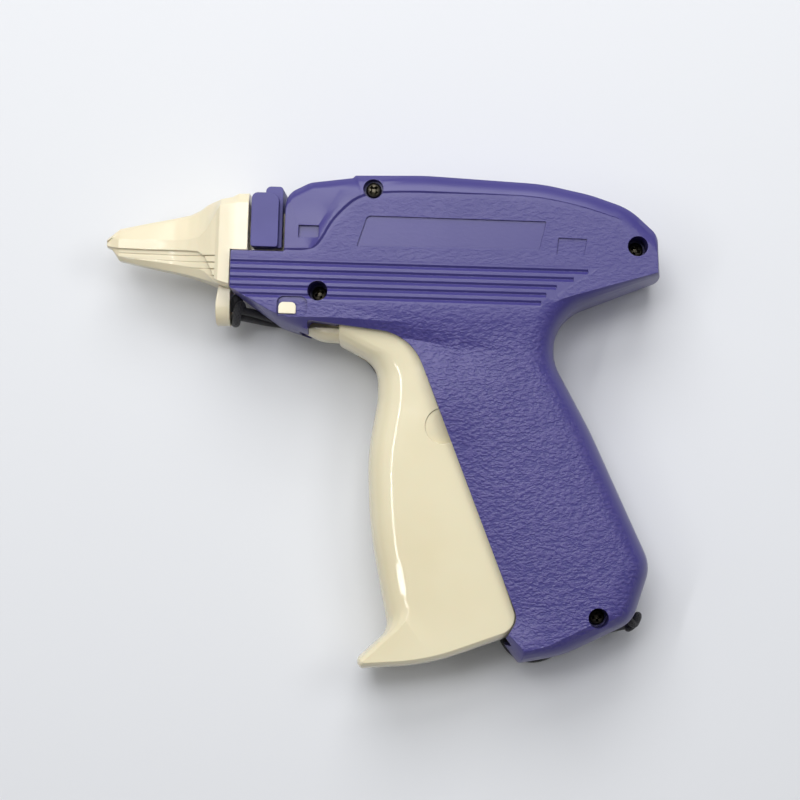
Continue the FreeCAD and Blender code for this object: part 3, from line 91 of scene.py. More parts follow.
class Slot(Enum):
    """The record's material slots, which each new piece carries along with it."""

    SHELL = "shell"
    CREAM = "cream"
    BLACK_SCREW = "black_screw"
    CORD = "cord"


class Body(Enum):
    """The bodies that the new pieces ride on."""

    BODY = "body"
    TRIGGER = "trigger_body"
    LOCK = "lock_body"
    COVER = "cover_body"
    RELEASE = "release_body"


# ------------------------------------------------------------------ node helpers
class NodeSheet:
    """A small writer for one material's nodes."""

    bevel_samples = 4
    mix_colors = (6, 7)         # inputs of the mix node that take its two colours
    mix_result = 2              # output of the mix node that gives a colour

    def __init__(self, name: str) -> None:
        """Starts a material with a principled shader.

        Args:
            name: The material's name.
        """
        self.material = bpy.data.materials.new(name)
        self.material.use_nodes = True
        self.nodes = self.material.node_tree.nodes
        self.links = self.material.node_tree.links
        self.shader = next(node for node in self.nodes if node.type == "BSDF_PRINCIPLED")
        self.place = self.coordinates("Object")

    def add(self, kind: str, **settings: object) -> bpy.types.Node:
        """Returns a new node with its properties set.

        Args:
            kind: Blender's name of the node type.
            settings: Properties of the node by name.
        """
        node = self.nodes.new(kind)
        for key, value in settings.items():
            setattr(node, key, value)
        return node

    def coordinates(self, kind: str) -> Socket:
        """Returns texture coordinates.

        Args:
            kind: Object, Normal or UV.
        """
        return self.add("ShaderNodeTexCoord").outputs[kind]

    def wire(self, source: Socket, target: Socket) -> None:
        """Links one socket to another."""
        self.links.new(source, target)

    def feed(self, socket: Socket, value: object) -> None:
        """Links a socket or sets its value.

        Args:
            socket: The input.
            value: A socket, or a plain number or tuple.
        """
        if isinstance(value, Socket):
            self.wire(value, socket)
        else:
            socket.default_value = value

    def split(self, vector: Socket) -> tuple[Socket, ...]:
        """Returns the three parts of a vector."""
        node = self.add("ShaderNodeSeparateXYZ")
        self.wire(vector, node.inputs[0])
        return tuple(node.outputs)

    def math(self, operation: str, a: object, b: object = 0.0, c: object = 0.0) -> Socket:
        """Returns the result of a maths node.

        Args:
            operation: The node's operation.
            a: First input.
            b: Second input.
            c: Third input.
        """
        node = self.add("ShaderNodeMath", operation=operation)
        for socket, value in zip(node.inputs, (a, b, c)):
            self.feed(socket, value)
        return node.outputs[0]

    def product(self, first: Socket, *others: object) -> Socket:
        """Returns several values multiplied.

        Args:
            first: The first value.
            others: What it is multiplied by, one after another.
        """
        result = first
        for other in others:
            result = self.math("MULTIPLY", result, other)
        return result

    def scaled(self, scale: tuple[float, float, float], turn: float = 0.0) -> Socket:
        """Returns object coordinates turned about Z and stretched.

        Args:
            scale: Factor along each axis.
            turn: Angle in degrees.
        """
        node = self.add("ShaderNodeMapping")
        node.inputs["Scale"].default_value = scale
        node.inputs["Rotation"].default_value = (0.0, 0.0, math.radians(turn))
        self.wire(self.place, node.inputs["Vector"])
        return node.outputs[0]

    def noise(self, vector: Socket, scale: float, detail: float = 2.0, roughness: float = 0.5) -> Socket:
        """Returns a noise value.

        Args:
            vector: Where it is sampled.
            scale: Cells in a metre.
            detail: Octaves.
            roughness: Strength of the fine octaves.
        """
        node = self.add("ShaderNodeTexNoise")
        self.wire(vector, node.inputs["Vector"])
        node.inputs["Scale"].default_value = scale
        node.inputs["Detail"].default_value = detail
        node.inputs["Roughness"].default_value = roughness
        return node.outputs["Fac"]

    def ramp(self, value: object, low: float, high: float, out_low: float = 0.0,
             out_high: float = 1.0) -> Socket:
        """Returns a value mapped smoothly from one range to another.

        Args:
            value: The input.
            low: Input that gives out_low.
            high: Input that gives out_high.
            out_low: Result at the low end.
            out_high: Result at the high end.
        """
        node = self.add("ShaderNodeMapRange", interpolation_type="SMOOTHSTEP")
        for socket, number in zip(node.inputs, (value, low, high, out_low, out_high)):
            self.feed(socket, number)
        return node.outputs[0]

    def mix(self, factor: object, a: object, b: object) -> Socket:
        """Returns a colour between two.

        Args:
            factor: 0 gives a and 1 gives b.
            a: First colour.
            b: Second colour.
        """
        node = self.add("ShaderNodeMix", data_type="RGBA")
        self.feed(node.inputs["Factor"], factor)
        for place, color in zip(self.mix_colors, (a, b)):
            self.feed(node.inputs[place], color)
        return node.outputs[self.mix_result]

    def bump(self, height: Socket, distance: float, strength: float, after: Socket | None = None) -> Socket:
        """Returns a bumped normal.

        Args:
            height: Relief from 0 to 1.
            distance: Depth of the relief in metres.
            strength: Share of it that shows.
            after: A normal to start from.
        """
        node = self.add("ShaderNodeBump")
        node.inputs["Distance"].default_value = distance
        node.inputs["Strength"].default_value = strength
        self.wire(height, node.inputs["Height"])
        if after is not None:
            self.wire(after, node.inputs["Normal"])
        return node.outputs[0]

    def soft_edges(self, radius: float) -> Socket:
        """Returns a normal that rounds sharp edges a little.

        Args:
            radius: Rounding in metres.
        """
        node = self.add("ShaderNodeBevel", samples=self.bevel_samples)
        node.inputs["Radius"].default_value = radius
        return node.outputs[0]

    def finish(self, color: object, roughness: object, normal: Socket | None = None,
               **sockets: float) -> bpy.types.Material:
        """Sets the shader's main sockets and returns the material.

        Args:
            color: Colour socket or value.
            roughness: Roughness socket or value.
            normal: Bumped normal.
            sockets: Other sockets of the shader by name, with underscores for spaces.
        """
        self.feed(self.shader.inputs["Base Color"], color)
        self.feed(self.shader.inputs["Roughness"], roughness)
        if normal is not None:
            self.wire(normal, self.shader.inputs["Normal"])
        for name, value in sockets.items():
            self.shader.inputs[name.replace("_", " ")].default_value = value
        return self.material


def srgb(red: int, green: int, blue: int) -> Color:
    """Returns a linear colour for 8-bit display values."""
    linear = []
    for value in (red, green, blue):
        share = value / 255
        linear.append(share / 12.92 if share <= 0.04045 else ((share + 0.055) / 1.055) ** 2.4)
    return linear[0], linear[1], linear[2], 1.0


# ------------------------------------------------------------------ finishes
@dataclass(frozen=True)
class GrainedShellPlastic:
    """Violet-blue moulded shell: creased leather grain on the side panels, satin elsewhere.

    Borders, levels and ends are in millimetres on the drawing, and depths and blurs in metres. A
    noise is given as its cells in a metre, its octaves and the strength of the fine ones.
    """

    # Colours, and how far each tint goes: crest is a painted highlight on the fold tops, and the dark tone is
    # random clouds and painted shade in the folds.
    base: Color = srgb(67, 61, 127)
    crest: Color = srgb(96, 86, 142)
    cloud_and_fold_shade: Color = srgb(46, 43, 110)
    cloud_noise: tuple[float, ...] = (30.0, 2.0)
    cloud_range: tuple[float, float] = (0.3, 0.7)
    cloud_tint: float = 0.25
    fold_shade_tint: float = 0.3
    fold_highlight_tint: float = 0.24

    # The grained panel's upper and front border, and how far a face may tip and keep its grain.
    panel_border: tuple[tuple[float, float], ...] = (
        (-9.0, 10.9), (-3.5, 11.0), (-0.8, 12.0), (1.0, 14.2), (3.2, 18.2), (6.5, 22.2), (9.7, 24.9),
        (13.0, 26.3), (17.5, 27.0), (30.5, 27.4), (44.8, 27.4), (57.2, 27.1), (67.6, 25.5), (77.3, 22.9),
        (83.8, 20.8), (90.4, 18.0))
    border_reach: float = 0.08      # height that the border's curve gives as 1
    border_blur: tuple[float, float] = (0.0002, 0.0016)
    flat_range: tuple[float, float] = (0.66, 0.95)

    # The field of the grooves, whose rear end leans back as it rises.
    groove_levels: tuple[float, float] = (-2.7, 8.5)
    groove_end: float = 60.1
    groove_end_lean: float = 1.41
    groove_blur: float = 0.0003
    groove_wall: tuple[float, float] = (0.2, 0.4)
    groove_polish: float = 0.24

    # The bare name recess: its lowest and highest level, and the place and lean of each end.
    name_levels: tuple[float, float] = (12.3, 20.6)
    name_ends: tuple[tuple[float, float], ...] = ((10.2, 0.31), (59.5, 0.2))
    name_smoothness: float = 0.8

    # The grain. Folds are given as their number in a metre and their width.
    fold_stretch: tuple[float, float, float] = (0.6, 1.0, 0.8)
    fold_turn: float = -4.0
    wander_stretch: tuple[float, float, float] = (0.8, 1.0, 1.0)
    wander_turn: float = 20.0
    wander_scale: float = 0.9
    wander_reach: tuple[float, float] = (0.8, 1.1)
    coarse_folds: tuple[float, float] = (1250.0, 0.34)
    fine_folds: tuple[float, float] = (2300.0, 0.4)
    fine_share: float = 0.35
    grit_noise: tuple[float, ...] = (5200.0, 2.0)
    grit_share: float = 0.05
    grain_depth: float = 0.00013
    grain_strength: float = 0.9
    grip_levels: tuple[float, float] = (2.0, -14.0)
    panel_depth: float = 0.28       # depth of the grain above the grip, as a share of the grip's

    # Gloss.
    roughness: float = 0.3
    mottle_noise: tuple[float, ...] = (90.0, 3.0)
    mottle: float = 0.1
    grain_roughness: float = 0.05
    edge_radius: float = 0.00025

    def below_border(self, sheet: NodeSheet, x: Socket, y: Socket) -> Socket:
        """Returns 1 below the side panel's upper and front border and 0 beyond it.

        Args:
            sheet: The material being written.
            x: Object X.
            y: Object Y.
        """
        border = [at(*place, 0) for place in self.panel_border]
        low, span = border[0].x, border[-1].x - border[0].x
        curve = sheet.add("ShaderNodeFloatCurve")
        points = curve.mapping.curves[0].points
        while len(points) < len(border):
            points.new(0.5, 0.5)
        for point, place in zip(points, border):
            point.location = ((place.x - low) / span, place.y / self.border_reach)
            point.handle_type = "VECTOR"
        curve.mapping.update()
        sheet.wire(sheet.math("DIVIDE", sheet.math("SUBTRACT", x, low), span), curve.inputs["Value"])
        height = sheet.math("MULTIPLY", curve.outputs[0], self.border_reach)
        return sheet.ramp(sheet.math("SUBTRACT", height, y), *self.border_blur)

    def groove_field(self, sheet: NodeSheet, x: Socket, y: Socket) -> Socket:
        """Returns 1 on the ungrained field of the five grooves.

        Args:
            sheet: The material being written.
            x: Object X.
            y: Object Y.
        """
        bottom, top = (at(0, level, 0).y for level in self.groove_levels)
        blur = self.groove_blur
        rise = sheet.math("SUBTRACT", y, bottom)
        end = sheet.math("MULTIPLY_ADD", rise, self.groove_end_lean, at(self.groove_end, 0, 0).x)
        above = sheet.ramp(y, bottom - blur, bottom + blur)
        below = sheet.ramp(y, top - blur, top + blur, 1.0, 0.0)
        before = sheet.ramp(sheet.math("SUBTRACT", x, end), -2 * blur, 2 * blur, 1.0, 0.0)
        return sheet.product(above, below, before)

    def name_field(self, sheet: NodeSheet, x: Socket, y: Socket) -> Socket:
        """Returns 1 on the floor of the bare name recess, whose two ends lean.

        Args:
            sheet: The material being written.
            x: Object X.
            y: Object Y.
        """
        bottom, top = (at(0, level, 0).y for level in self.name_levels)
        rise = sheet.math("SUBTRACT", y, bottom)
        front, back = (sheet.math("MULTIPLY_ADD", rise, lean, at(end, 0, 0).x)
                       for end, lean in self.name_ends)
        return sheet.product(
            sheet.math("GREATER_THAN", rise, 0.0), sheet.math("LESS_THAN", y, top),
            sheet.math("GREATER_THAN", x, front), sheet.math("LESS_THAN", x, back))

    def folds(self, sheet: NodeSheet, scale: float, width: float) -> Socket:
        """Returns relief of short wavy folds that lie across the grip, from 0 to 1.

        Args:
            sheet: The material being written.
            scale: Folds in a metre.
            width: Share of the noise's range between a fold's foot and its top.
        """
        across = sheet.scaled(self.wander_stretch, self.wander_turn)
        wander = sheet.noise(across, scale * self.wander_scale, 2.0)
        shift = sheet.add("ShaderNodeCombineXYZ")
        for socket in shift.inputs[:2]:
            sheet.wire(wander, socket)
        moved = sheet.add("ShaderNodeVectorMath", operation="MULTIPLY_ADD")
        sheet.wire(shift.outputs[0], moved.inputs[0])
        moved.inputs[1].default_value = (self.wander_reach[0] / scale, self.wander_reach[1] / scale, 0.0)
        sheet.wire(sheet.scaled(self.fold_stretch, self.fold_turn), moved.inputs[2])
        value = sheet.noise(moved.outputs[0], scale, 1.0, 0.4)
        return sheet.ramp(value, 0.5 - width / 2, 0.5 + width / 2)

    def material(self) -> bpy.types.Material:
        """Returns the finished material."""
        sheet = NodeSheet("grained_shell_plastic")
        x, y, _ = sheet.split(sheet.place)
        _, facing_up, facing_out = sheet.split(sheet.coordinates("Normal"))
        grooves = self.groove_field(sheet, x, y)
        flat = sheet.ramp(sheet.math("ABSOLUTE", facing_out), *self.flat_range)
        named = sheet.math("MULTIPLY_ADD", self.name_field(sheet, x, y), -self.name_smoothness, 1.0)
        grained = sheet.product(
            self.below_border(sheet, x, y), sheet.math("SUBTRACT", 1.0, grooves), flat, named)

        grip = sheet.ramp(y, *(at(0, level, 0).y for level in self.grip_levels))
        depth = sheet.math("MULTIPLY_ADD", grip, 1.0 - self.panel_depth, self.panel_depth)
        depth = sheet.product(depth, grained)
        coarse = self.folds(sheet, *self.coarse_folds)
        fine = self.folds(sheet, *self.fine_folds)
        relief = sheet.product(sheet.math("MULTIPLY_ADD", fine, self.fine_share, coarse), depth)
        grit = sheet.noise(sheet.place, *self.grit_noise)
        relief = sheet.math("MULTIPLY_ADD", grit, self.grit_share, relief)

        clouds = sheet.noise(sheet.place, *self.cloud_noise)
        clouds = sheet.ramp(clouds, *self.cloud_range, 0.0, self.cloud_tint)
        tone = sheet.mix(clouds, self.base, self.cloud_and_fold_shade)
        # Painted shade: the folds' hollows are darkened towards the dark tone where the grain is deep.
        shade_in_folds = sheet.product(depth, sheet.math("SUBTRACT", 1.0, coarse), self.fold_shade_tint)
        tone = sheet.mix(shade_in_folds, tone, self.cloud_and_fold_shade)
        # Painted highlight: the fold tops are lightened towards the crest colour.
        tone = sheet.mix(sheet.product(coarse, depth, self.fold_highlight_tint), tone, self.crest)

        mottle = sheet.noise(sheet.place, *self.mottle_noise)
        rough = sheet.math("MULTIPLY_ADD", mottle, self.mottle, self.roughness)
        rough = sheet.math("MULTIPLY_ADD", grained, self.grain_roughness, rough)
        polished = sheet.product(grooves, sheet.ramp(facing_up, *self.groove_wall), self.groove_polish)
        rough = sheet.math("SUBTRACT", rough, polished)
        edges = sheet.soft_edges(self.edge_radius)
        normal = sheet.bump(relief, self.grain_depth, self.grain_strength, edges)
        return sheet.finish(tone, rough, normal, Specular_IOR_Level=0.5)


@dataclass(frozen=True)
class GlossCreamPlastic:
    """Polished cream moulding, faintly uneven and slightly see-through at thin edges."""

    name: str = "gloss_cream_plastic"
    base: Color = srgb(228, 219, 188)
    warm: Color = srgb(220, 207, 170)
    roughness: float = 0.1
    edge_radius: float = 0.00035
    blotch_noise: tuple[float, ...] = (28.0, 3.0)
    blotch_range: tuple[float, float] = (0.35, 0.75)
    blotch_tint: float = 0.5
    handled_noise: tuple[float, ...] = (160.0, 4.0, 0.6)
    handled_range: tuple[float, float] = (0.45, 0.8)
    handled_roughness: float = 0.12
    ripple_noise: tuple[float, ...] = (70.0, 2.0)
    ripple_depth: float = 0.00012
    scuff_noise: tuple[float, ...] = (2400.0, 2.0)
    scuff_turn: float = 35.0
    scuff_depth: float = 0.000006

    def material(self) -> bpy.types.Material:
        """Returns the finished material."""
        sheet = NodeSheet(self.name)
        blotch = sheet.ramp(sheet.noise(sheet.place, *self.blotch_noise), *self.blotch_range)
        tone = sheet.mix(sheet.math("MULTIPLY", blotch, self.blotch_tint), self.base, self.warm)
        handled = sheet.noise(sheet.scaled((0.6, 1.0, 1.0)), *self.handled_noise)
        handled = sheet.ramp(handled, *self.handled_range)
        rough = sheet.math("MULTIPLY_ADD", handled, self.handled_roughness, self.roughness)
        ripple = sheet.noise(sheet.place, *self.ripple_noise)
        scuffs = sheet.noise(sheet.scaled((0.3, 1.0, 1.0), self.scuff_turn), *self.scuff_noise)
        normal = sheet.bump(ripple, self.ripple_depth, 0.25, sheet.soft_edges(self.edge_radius))
        normal = sheet.bump(scuffs, self.scuff_depth, 0.5, normal)
        return sheet.finish(tone, rough, normal, Coat_Weight=0.25, Coat_Roughness=0.08,
                            Subsurface_Weight=0.06, Subsurface_Scale=0.002)


@dataclass(frozen=True)
class Metal:
    """Turned or drawn steel with fine lines."""

    name: str
    base: Color
    roughness: float
    wear: Color = (0.5, 0.5, 0.52, 1.0)
    wear_noise: tuple[float, ...] = (420.0, 3.0)
    wear_range: tuple[float, float] = (0.55, 0.8)
    wear_tint: float = 0.35
    line_noise: tuple[float, ...] = (3800.0, 2.0)
    line_roughness: float = 0.14
    line_depth: float = 0.00001

    def material(self) -> bpy.types.Material:
        """Returns the finished material."""
        sheet = NodeSheet(self.name)
        lines = sheet.noise(sheet.scaled((0.15, 1.0, 1.0)), *self.line_noise)
        worn = sheet.ramp(sheet.noise(sheet.place, *self.wear_noise), *self.wear_range)
        tone = sheet.mix(sheet.math("MULTIPLY", worn, self.wear_tint), self.base, self.wear)
        rough = sheet.math("MULTIPLY_ADD", lines, self.line_roughness, self.roughness)
        return sheet.finish(tone, rough, sheet.bump(lines, self.line_depth, 0.6), Metallic=1.0)


@dataclass(frozen=True)
class SatinPlastic:
    """Plain moulded plastic with a light spark finish."""

    name: str
    base: Color
    shade: Color
    roughness: float = 0.42
    blotch_noise: tuple[float, ...] = (60.0, 3.0)
    blotch_range: tuple[float, float] = (0.3, 0.75)
    spark_noise: tuple[float, ...] = (4200.0, 3.0, 0.6)
    spark_roughness: float = 0.12
    spark_depth: float = 0.00003
    edge_radius: float = 0.00025

    def material(self) -> bpy.types.Material:
        """Returns the finished material."""
        sheet = NodeSheet(self.name)
        blotch = sheet.ramp(sheet.noise(sheet.place, *self.blotch_noise), *self.blotch_range)
        tone = sheet.mix(blotch, self.base, self.shade)
        spark = sheet.noise(sheet.place, *self.spark_noise)
        rough = sheet.math("MULTIPLY_ADD", spark, self.spark_roughness, self.roughness)
        normal = sheet.bump(spark, self.spark_depth, 0.7, sheet.soft_edges(self.edge_radius))
        return sheet.finish(tone, rough, normal)


@dataclass(frozen=True)
class BraidedCordFinish:
    """Black braided cord, woven along the piece's own UV map."""

    name: str = "braided_cord"
    base: Color = srgb(22, 22, 25)
    lit: Color = srgb(52, 52, 58)
    strands_around: float = 8.0
    strands_in_a_metre: float = 1250.0
    lit_range: tuple[float, float] = (0.5, 1.0)
    lit_tint: float = 0.8
    fuzz_noise: tuple[float, ...] = (6000.0, 3.0)
    fuzz_share: float = 0.3
    roughness: float = 0.62
    weave_depth: float = 0.00018

    def material(self) -> bpy.types.Material:
        """Returns the finished material."""
        sheet = NodeSheet(self.name)
        turn, length, _ = sheet.split(sheet.coordinates("UV"))
        around = sheet.math("MULTIPLY", turn, self.strands_around)
        strands = []
        for pitch in (self.strands_in_a_metre, -self.strands_in_a_metre):
            phase = sheet.math("MULTIPLY_ADD", length, pitch, around)
            strands.append(sheet.math("PINGPONG", phase, 0.5))
        weave = sheet.math("MULTIPLY", sheet.math("MAXIMUM", *strands), 2.0)
        tone = sheet.mix(sheet.ramp(weave, *self.lit_range, 0.0, self.lit_tint), self.base, self.lit)
        fuzz = sheet.noise(sheet.place, *self.fuzz_noise)
        height = sheet.math("MULTIPLY_ADD", fuzz, self.fuzz_share, weave)
        normal = sheet.bump(height, self.weave_depth, 1.0)
        return sheet.finish(tone, self.roughness, normal, Sheen_Weight=0.15)


class Wardrobe:
    """Every finish of the part, made once."""

    def __init__(self) -> None:
        """Builds the materials."""
        self.shell = GrainedShellPlastic().material()
        self.knob = SatinPlastic("smooth_shell_plastic", srgb(76, 72, 138), srgb(68, 64, 129)).material()
        self.cream = GlossCreamPlastic().material()
        self.cover = GlossCreamPlastic(
            "satin_cream_plastic", srgb(228, 218, 189), srgb(221, 209, 177), 0.3).material()
        self.black = Metal("black_screw_steel", srgb(74, 70, 60), 0.24, srgb(30, 29, 27)).material()
        self.steel = Metal("bright_steel", srgb(188, 190, 194), 0.26).material()
        self.spring = Metal("spring_steel", srgb(150, 150, 154), 0.34).material()
        self.natural = SatinPlastic("natural_acetal", srgb(222, 219, 208), srgb(210, 206, 192)).material()
        self.pad = SatinPlastic("soft_black_pad", srgb(24, 24, 25), srgb(34, 34, 36), 0.7).material()
        self.cord = BraidedCordFinish().material()


# ------------------------------------------------------------------ mesh helpers
def sharpen(mesh: bpy.types.Mesh, degrees: float) -> None:
    """Shades a mesh smooth and marks the edges that stay crisp.

    Args:
        mesh: A closed mesh with merged points.
        degrees: Edges that turn more than this stay sharp.
    """
    work = bmesh.new()
    work.from_mesh(mesh)
    limit = math.radians(degrees)
    for face in work.faces:
        face.smooth = True
    for edge in work.edges:
        edge.smooth = len(edge.link_faces) == 2 and edge.calc_face_angle(0.0) < limit
    work.to_mesh(mesh)
    work.free()


def finished_mesh(work: bmesh.types.BMesh, name: str, crisp: float) -> bpy.types.Mesh:
    """Returns a smooth-shaded mesh made of new faces, which are turned outwards.

    Args:
        work: The faces, which are freed.
        name: The mesh's name.
        crisp: Edges that turn more than this many degrees stay sharp.
    """
    bmesh.ops.recalc_face_normals(work, faces=work.faces)
    mesh = bpy.data.meshes.new(name)
    work.to_mesh(mesh)
    work.free()
    sharpen(mesh, crisp)
    return mesh


def circle_angles(sides: int) -> list[float]:
    """Returns evenly spaced angles once round a circle."""
    return [2 * math.pi * j / sides for j in range(sides)]


def paint(mesh: bpy.types.Mesh, material: bpy.types.Material) -> None:
    """Gives a mesh one material in place of those it has."""
    mesh.materials.clear()
    mesh.materials.append(material)


def add_object(name: str, data: bpy.types.ID) -> bpy.types.Object:
    """Returns a new object in the scene.

    Args:
        name: The object's name.
        data: Its mesh, curve, lamp or camera.
    """
    made = bpy.data.objects.new(name, data)
    bpy.context.scene.collection.objects.link(made)
    return made


def evaluated_mesh(source: bpy.types.Object) -> bpy.types.Mesh:
    """Returns the mesh that an object's curve or modifiers give."""
    bpy.context.view_layer.update()
    evaluated = source.evaluated_get(bpy.context.evaluated_depsgraph_get())
    return bpy.data.meshes.new_from_object(evaluated)


@dataclass
class Piece:
    """One visible piece and what it stands for."""

    made: bpy.types.Object
    body: Body
    slot: Slot
    nodes: tuple[str, ...]

    def place(self) -> None:
        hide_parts(*self.nodes)
        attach(self.made, self.body.value)
        LOG.info("%s: %d faces", self.made.name, len(self.made.data.polygons))


# ------------------------------------------------------------------ sub-assemblies
@dataclass(frozen=True)
class Moulding:
    """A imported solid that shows: its skin is a copy with loose triangles joined and smooth shading."""

    node: str
    material: bpy.types.Material
    body: Body
    slot: Slot
    crisp: float

    def dress(self, nodes: Nodes) -> None:
        """Puts the skin in the solid's place.

        Args:
            nodes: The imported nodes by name.
        """
        name = self.node + "_skin"
        mesh = nodes[self.node].data.copy()
        mesh.name = name
        work = bmesh.new()
        work.from_mesh(mesh)
        bmesh.ops.remove_doubles(work, verts=work.verts, dist=JOIN_DISTANCE)
        bmesh.ops.dissolve_degenerate(work, edges=work.edges, dist=SHORTEST_EDGE)
        work.to_mesh(mesh)
        work.free()
        sharpen(mesh, self.crisp)
        paint(mesh, self.material)
        Piece(add_object(name, mesh), self.body, self.slot, (self.node,)).place()


def dress_shells(nodes: Nodes, wardrobe: Wardrobe) -> None:
    """Dresses the two shells.

    Args:
        nodes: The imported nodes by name.
        wardrobe: The finishes.
    """
    for name in ("left_shell", "right_shell"):
        Moulding(name, wardrobe.shell, Body.BODY, Slot.SHELL, SHELL_CRISP).dress(nodes)


def dress_small_mouldings(nodes: Nodes, wardrobe: Wardrobe) -> None:
    """Dresses the trigger, the lock slide, the needle cover and its holder, and the button.

    Args:
        nodes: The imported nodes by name.
        wardrobe: The finishes.
    """
    for moulding in (
        Moulding("trigger", wardrobe.cream, Body.TRIGGER, Slot.CREAM, MOULDING_CRISP),
        Moulding("needle_lock_slide", wardrobe.knob, Body.LOCK, Slot.SHELL, MOULDING_CRISP),
        Moulding("needle_cover", wardrobe.cover, Body.COVER, Slot.CREAM, FACET_CRISP),
        Moulding("needle_holder", wardrobe.cover, Body.BODY, Slot.CREAM, MOULDING_CRISP),
        Moulding("clip_release_button", wardrobe.cover, Body.RELEASE, Slot.CREAM, MOULDING_CRISP),
    ):
        moulding.dress(nodes)


def paint_mechanism(nodes: Nodes, wardrobe: Wardrobe) -> None:
    """Gives the inner pieces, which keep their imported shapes, their finishes.

    Args:
        nodes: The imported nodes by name.
        wardrobe: The finishes.
    """
    for material, names in (
        (wardrobe.steel, ("trigger_cross_pin", "lever_pin", "slider_pin", "push_rod", "needle", "feed_axle")),
        (wardrobe.spring, ("lever_spring", "lock_spring", "release_spring", "feed_pawl")),
        (wardrobe.natural,
         ("cross_roller", "drive_lever", "lever_spacers", "slider", "release_pawl", "feed_wheel")),
        (wardrobe.cream, ("needle_base",)),
        (wardrobe.pad, ("rear_bumper",)),
    ):
        for name in names:
            paint(nodes[name].data, material)


@dataclass
class Screws:
    """The four cross-headed screws: one detailed screw set out on points by geometry nodes."""

    head_radius: float = 2.1 * MM
    head_height: float = 1.6 * MM
    dome_drop: float = 0.42 * MM
    rim_start: float = 0.86         # share of the head's radius where its rounded rim starts
    rim_drop: float = 0.5 * MM
    cross_depth: float = 1.25 * MM
    cross_half_width: float = 0.36 * MM
    cross_flare: float = 0.10 * MM          # what the half width gains at the middle of the cross
    cross_flare_reach: float = 1.3 * MM
    cross_wall: float = 0.10 * MM           # run over which a side wall falls
    cross_reach: float = 1.32 * MM
    cross_end_run: float = 0.75 * MM        # run over which an arm's end falls
    cross_end_curve: float = 0.8
    shank_radius: float = 1.1 * MM
    shank_length: float = 10.6 * MM
    thread_step: float = 0.3 * MM
    thread_root: float = 0.86       # share of the shank's radius between two threads
    tip_radius: float = 0.2 * MM
    tip_length: float = 0.8 * MM
    crisp_angle: float = 38.0
    sides: int = 72
    rings: int = 30
    heads: tuple[tuple[float, float, float], ...] = (
        (0.0, 0.0, 20.4), (86.0, 14.6, 20.4), (78.3, -85.6, 20.4), (14.2, 28.1, 27.0))
    turns: tuple[float, ...] = (0.5, 1.2, 0.15, 0.75)

    def recess(self, x: float, y: float) -> float:
        """Returns how far the cross recess goes down at a place on the head.

        Args:
            x: Distance from the screw's axis.
            y: Distance from the axis the other way.
        """
        across, along = sorted((abs(x), abs(y)))
        half = self.cross_half_width + self.cross_flare * max(0.0, 1.0 - along / self.cross_flare_reach)
        side = min(1.0, max(0.0, (half - across) / self.cross_wall))
        end = min(1.0, max(0.0, (self.cross_reach - along) / self.cross_end_run))
        return self.cross_depth * min(side, end ** self.cross_end_curve)

    def head_point(self, share: float, angle: float) -> tuple[float, float, float]:
        """Returns a point on top of the head.

        Args:
            share: Distance from the axis as a share of the head's radius.
            angle: Its direction.
        """
        rim = max(0.0, share - self.rim_start) / (1.0 - self.rim_start)
        x = self.head_radius * share * math.cos(angle)
        y = self.head_radius * share * math.sin(angle)
        return x, y, -self.dome_drop * share ** 2 - self.rim_drop * rim ** 2 - self.recess(x, y)

    def shank_profile(self) -> list[tuple[float, float]]:
        """Returns the radius and height of each ring from the head's rim to the tip."""
        profile = [(self.head_radius, -self.head_height), (self.shank_radius, -self.head_height)]
        depth = self.head_height
        while depth < self.head_height + self.shank_length:
            depth += self.thread_step
            crest = int(depth / self.thread_step) % 2
            profile.append((self.shank_radius * (1.0 if crest else self.thread_root), -depth))
        profile.append((self.tip_radius, -depth - self.tip_length))
        return profile

    def screw_mesh(self) -> bpy.types.Mesh:
        """Returns one screw standing on Z, with the top of its head at height zero."""
        work = bmesh.new()
        angles = circle_angles(self.sides)
        centre = work.verts.new(self.head_point(0.0, 0.0))
        outlines = [[self.head_point(k / self.rings, angle) for angle in angles]
                    for k in range(1, self.rings + 1)]
        outlines += [[(radius * math.cos(angle), radius * math.sin(angle), height) for angle in angles]
                     for radius, height in self.shank_profile()]
        previous = []
        for outline in outlines:
            ring = [work.verts.new(place) for place in outline]
            for j in range(self.sides):
                if previous:
                    work.faces.new((previous[j - 1], previous[j], ring[j], ring[j - 1]))
                else:
                    work.faces.new((centre, ring[j], ring[j - 1]))
            previous = ring
        work.faces.new(previous)
        return finished_mesh(work, "screw_pattern", self.crisp_angle)

    def node_group(self, pattern: bpy.types.Object, material: bpy.types.Material) -> bpy.types.NodeTree:
        """Returns the nodes that stand a copy of the pattern on every point, turned by its attribute.

        Args:
            pattern: The screw to repeat.
            material: Its finish.
        """
        group = bpy.data.node_groups.new("screws_on_points", "GeometryNodeTree")
        group.interface.new_socket("Geometry", in_out="INPUT", socket_type="NodeSocketGeometry")
        group.interface.new_socket("Geometry", in_out="OUTPUT", socket_type="NodeSocketGeometry")
        source, result = group.nodes.new("NodeGroupInput"), group.nodes.new("NodeGroupOutput")
        copy = group.nodes.new("GeometryNodeObjectInfo")
        copy.inputs["Object"].default_value = pattern
        copy.inputs["As Instance"].default_value = True
        turn = group.nodes.new("GeometryNodeInputNamedAttribute")
        turn.data_type = "FLOAT"
        turn.inputs["Name"].default_value = "turn"
        spin = group.nodes.new("ShaderNodeCombineXYZ")
        place = group.nodes.new("GeometryNodeInstanceOnPoints")
        solid = group.nodes.new("GeometryNodeRealizeInstances")
        dress = group.nodes.new("GeometryNodeSetMaterial")
        dress.inputs["Material"].default_value = material
        link = group.links.new
        link(source.outputs["Geometry"], place.inputs["Points"])
        link(copy.outputs["Geometry"], place.inputs["Instance"])
        link(turn.outputs[0], spin.inputs[2])
        link(spin.outputs[0], place.inputs["Rotation"])
        link(place.outputs[0], solid.inputs[0])
        link(solid.outputs[0], dress.inputs["Geometry"])
        link(dress.outputs[0], result.inputs[0])
        return group

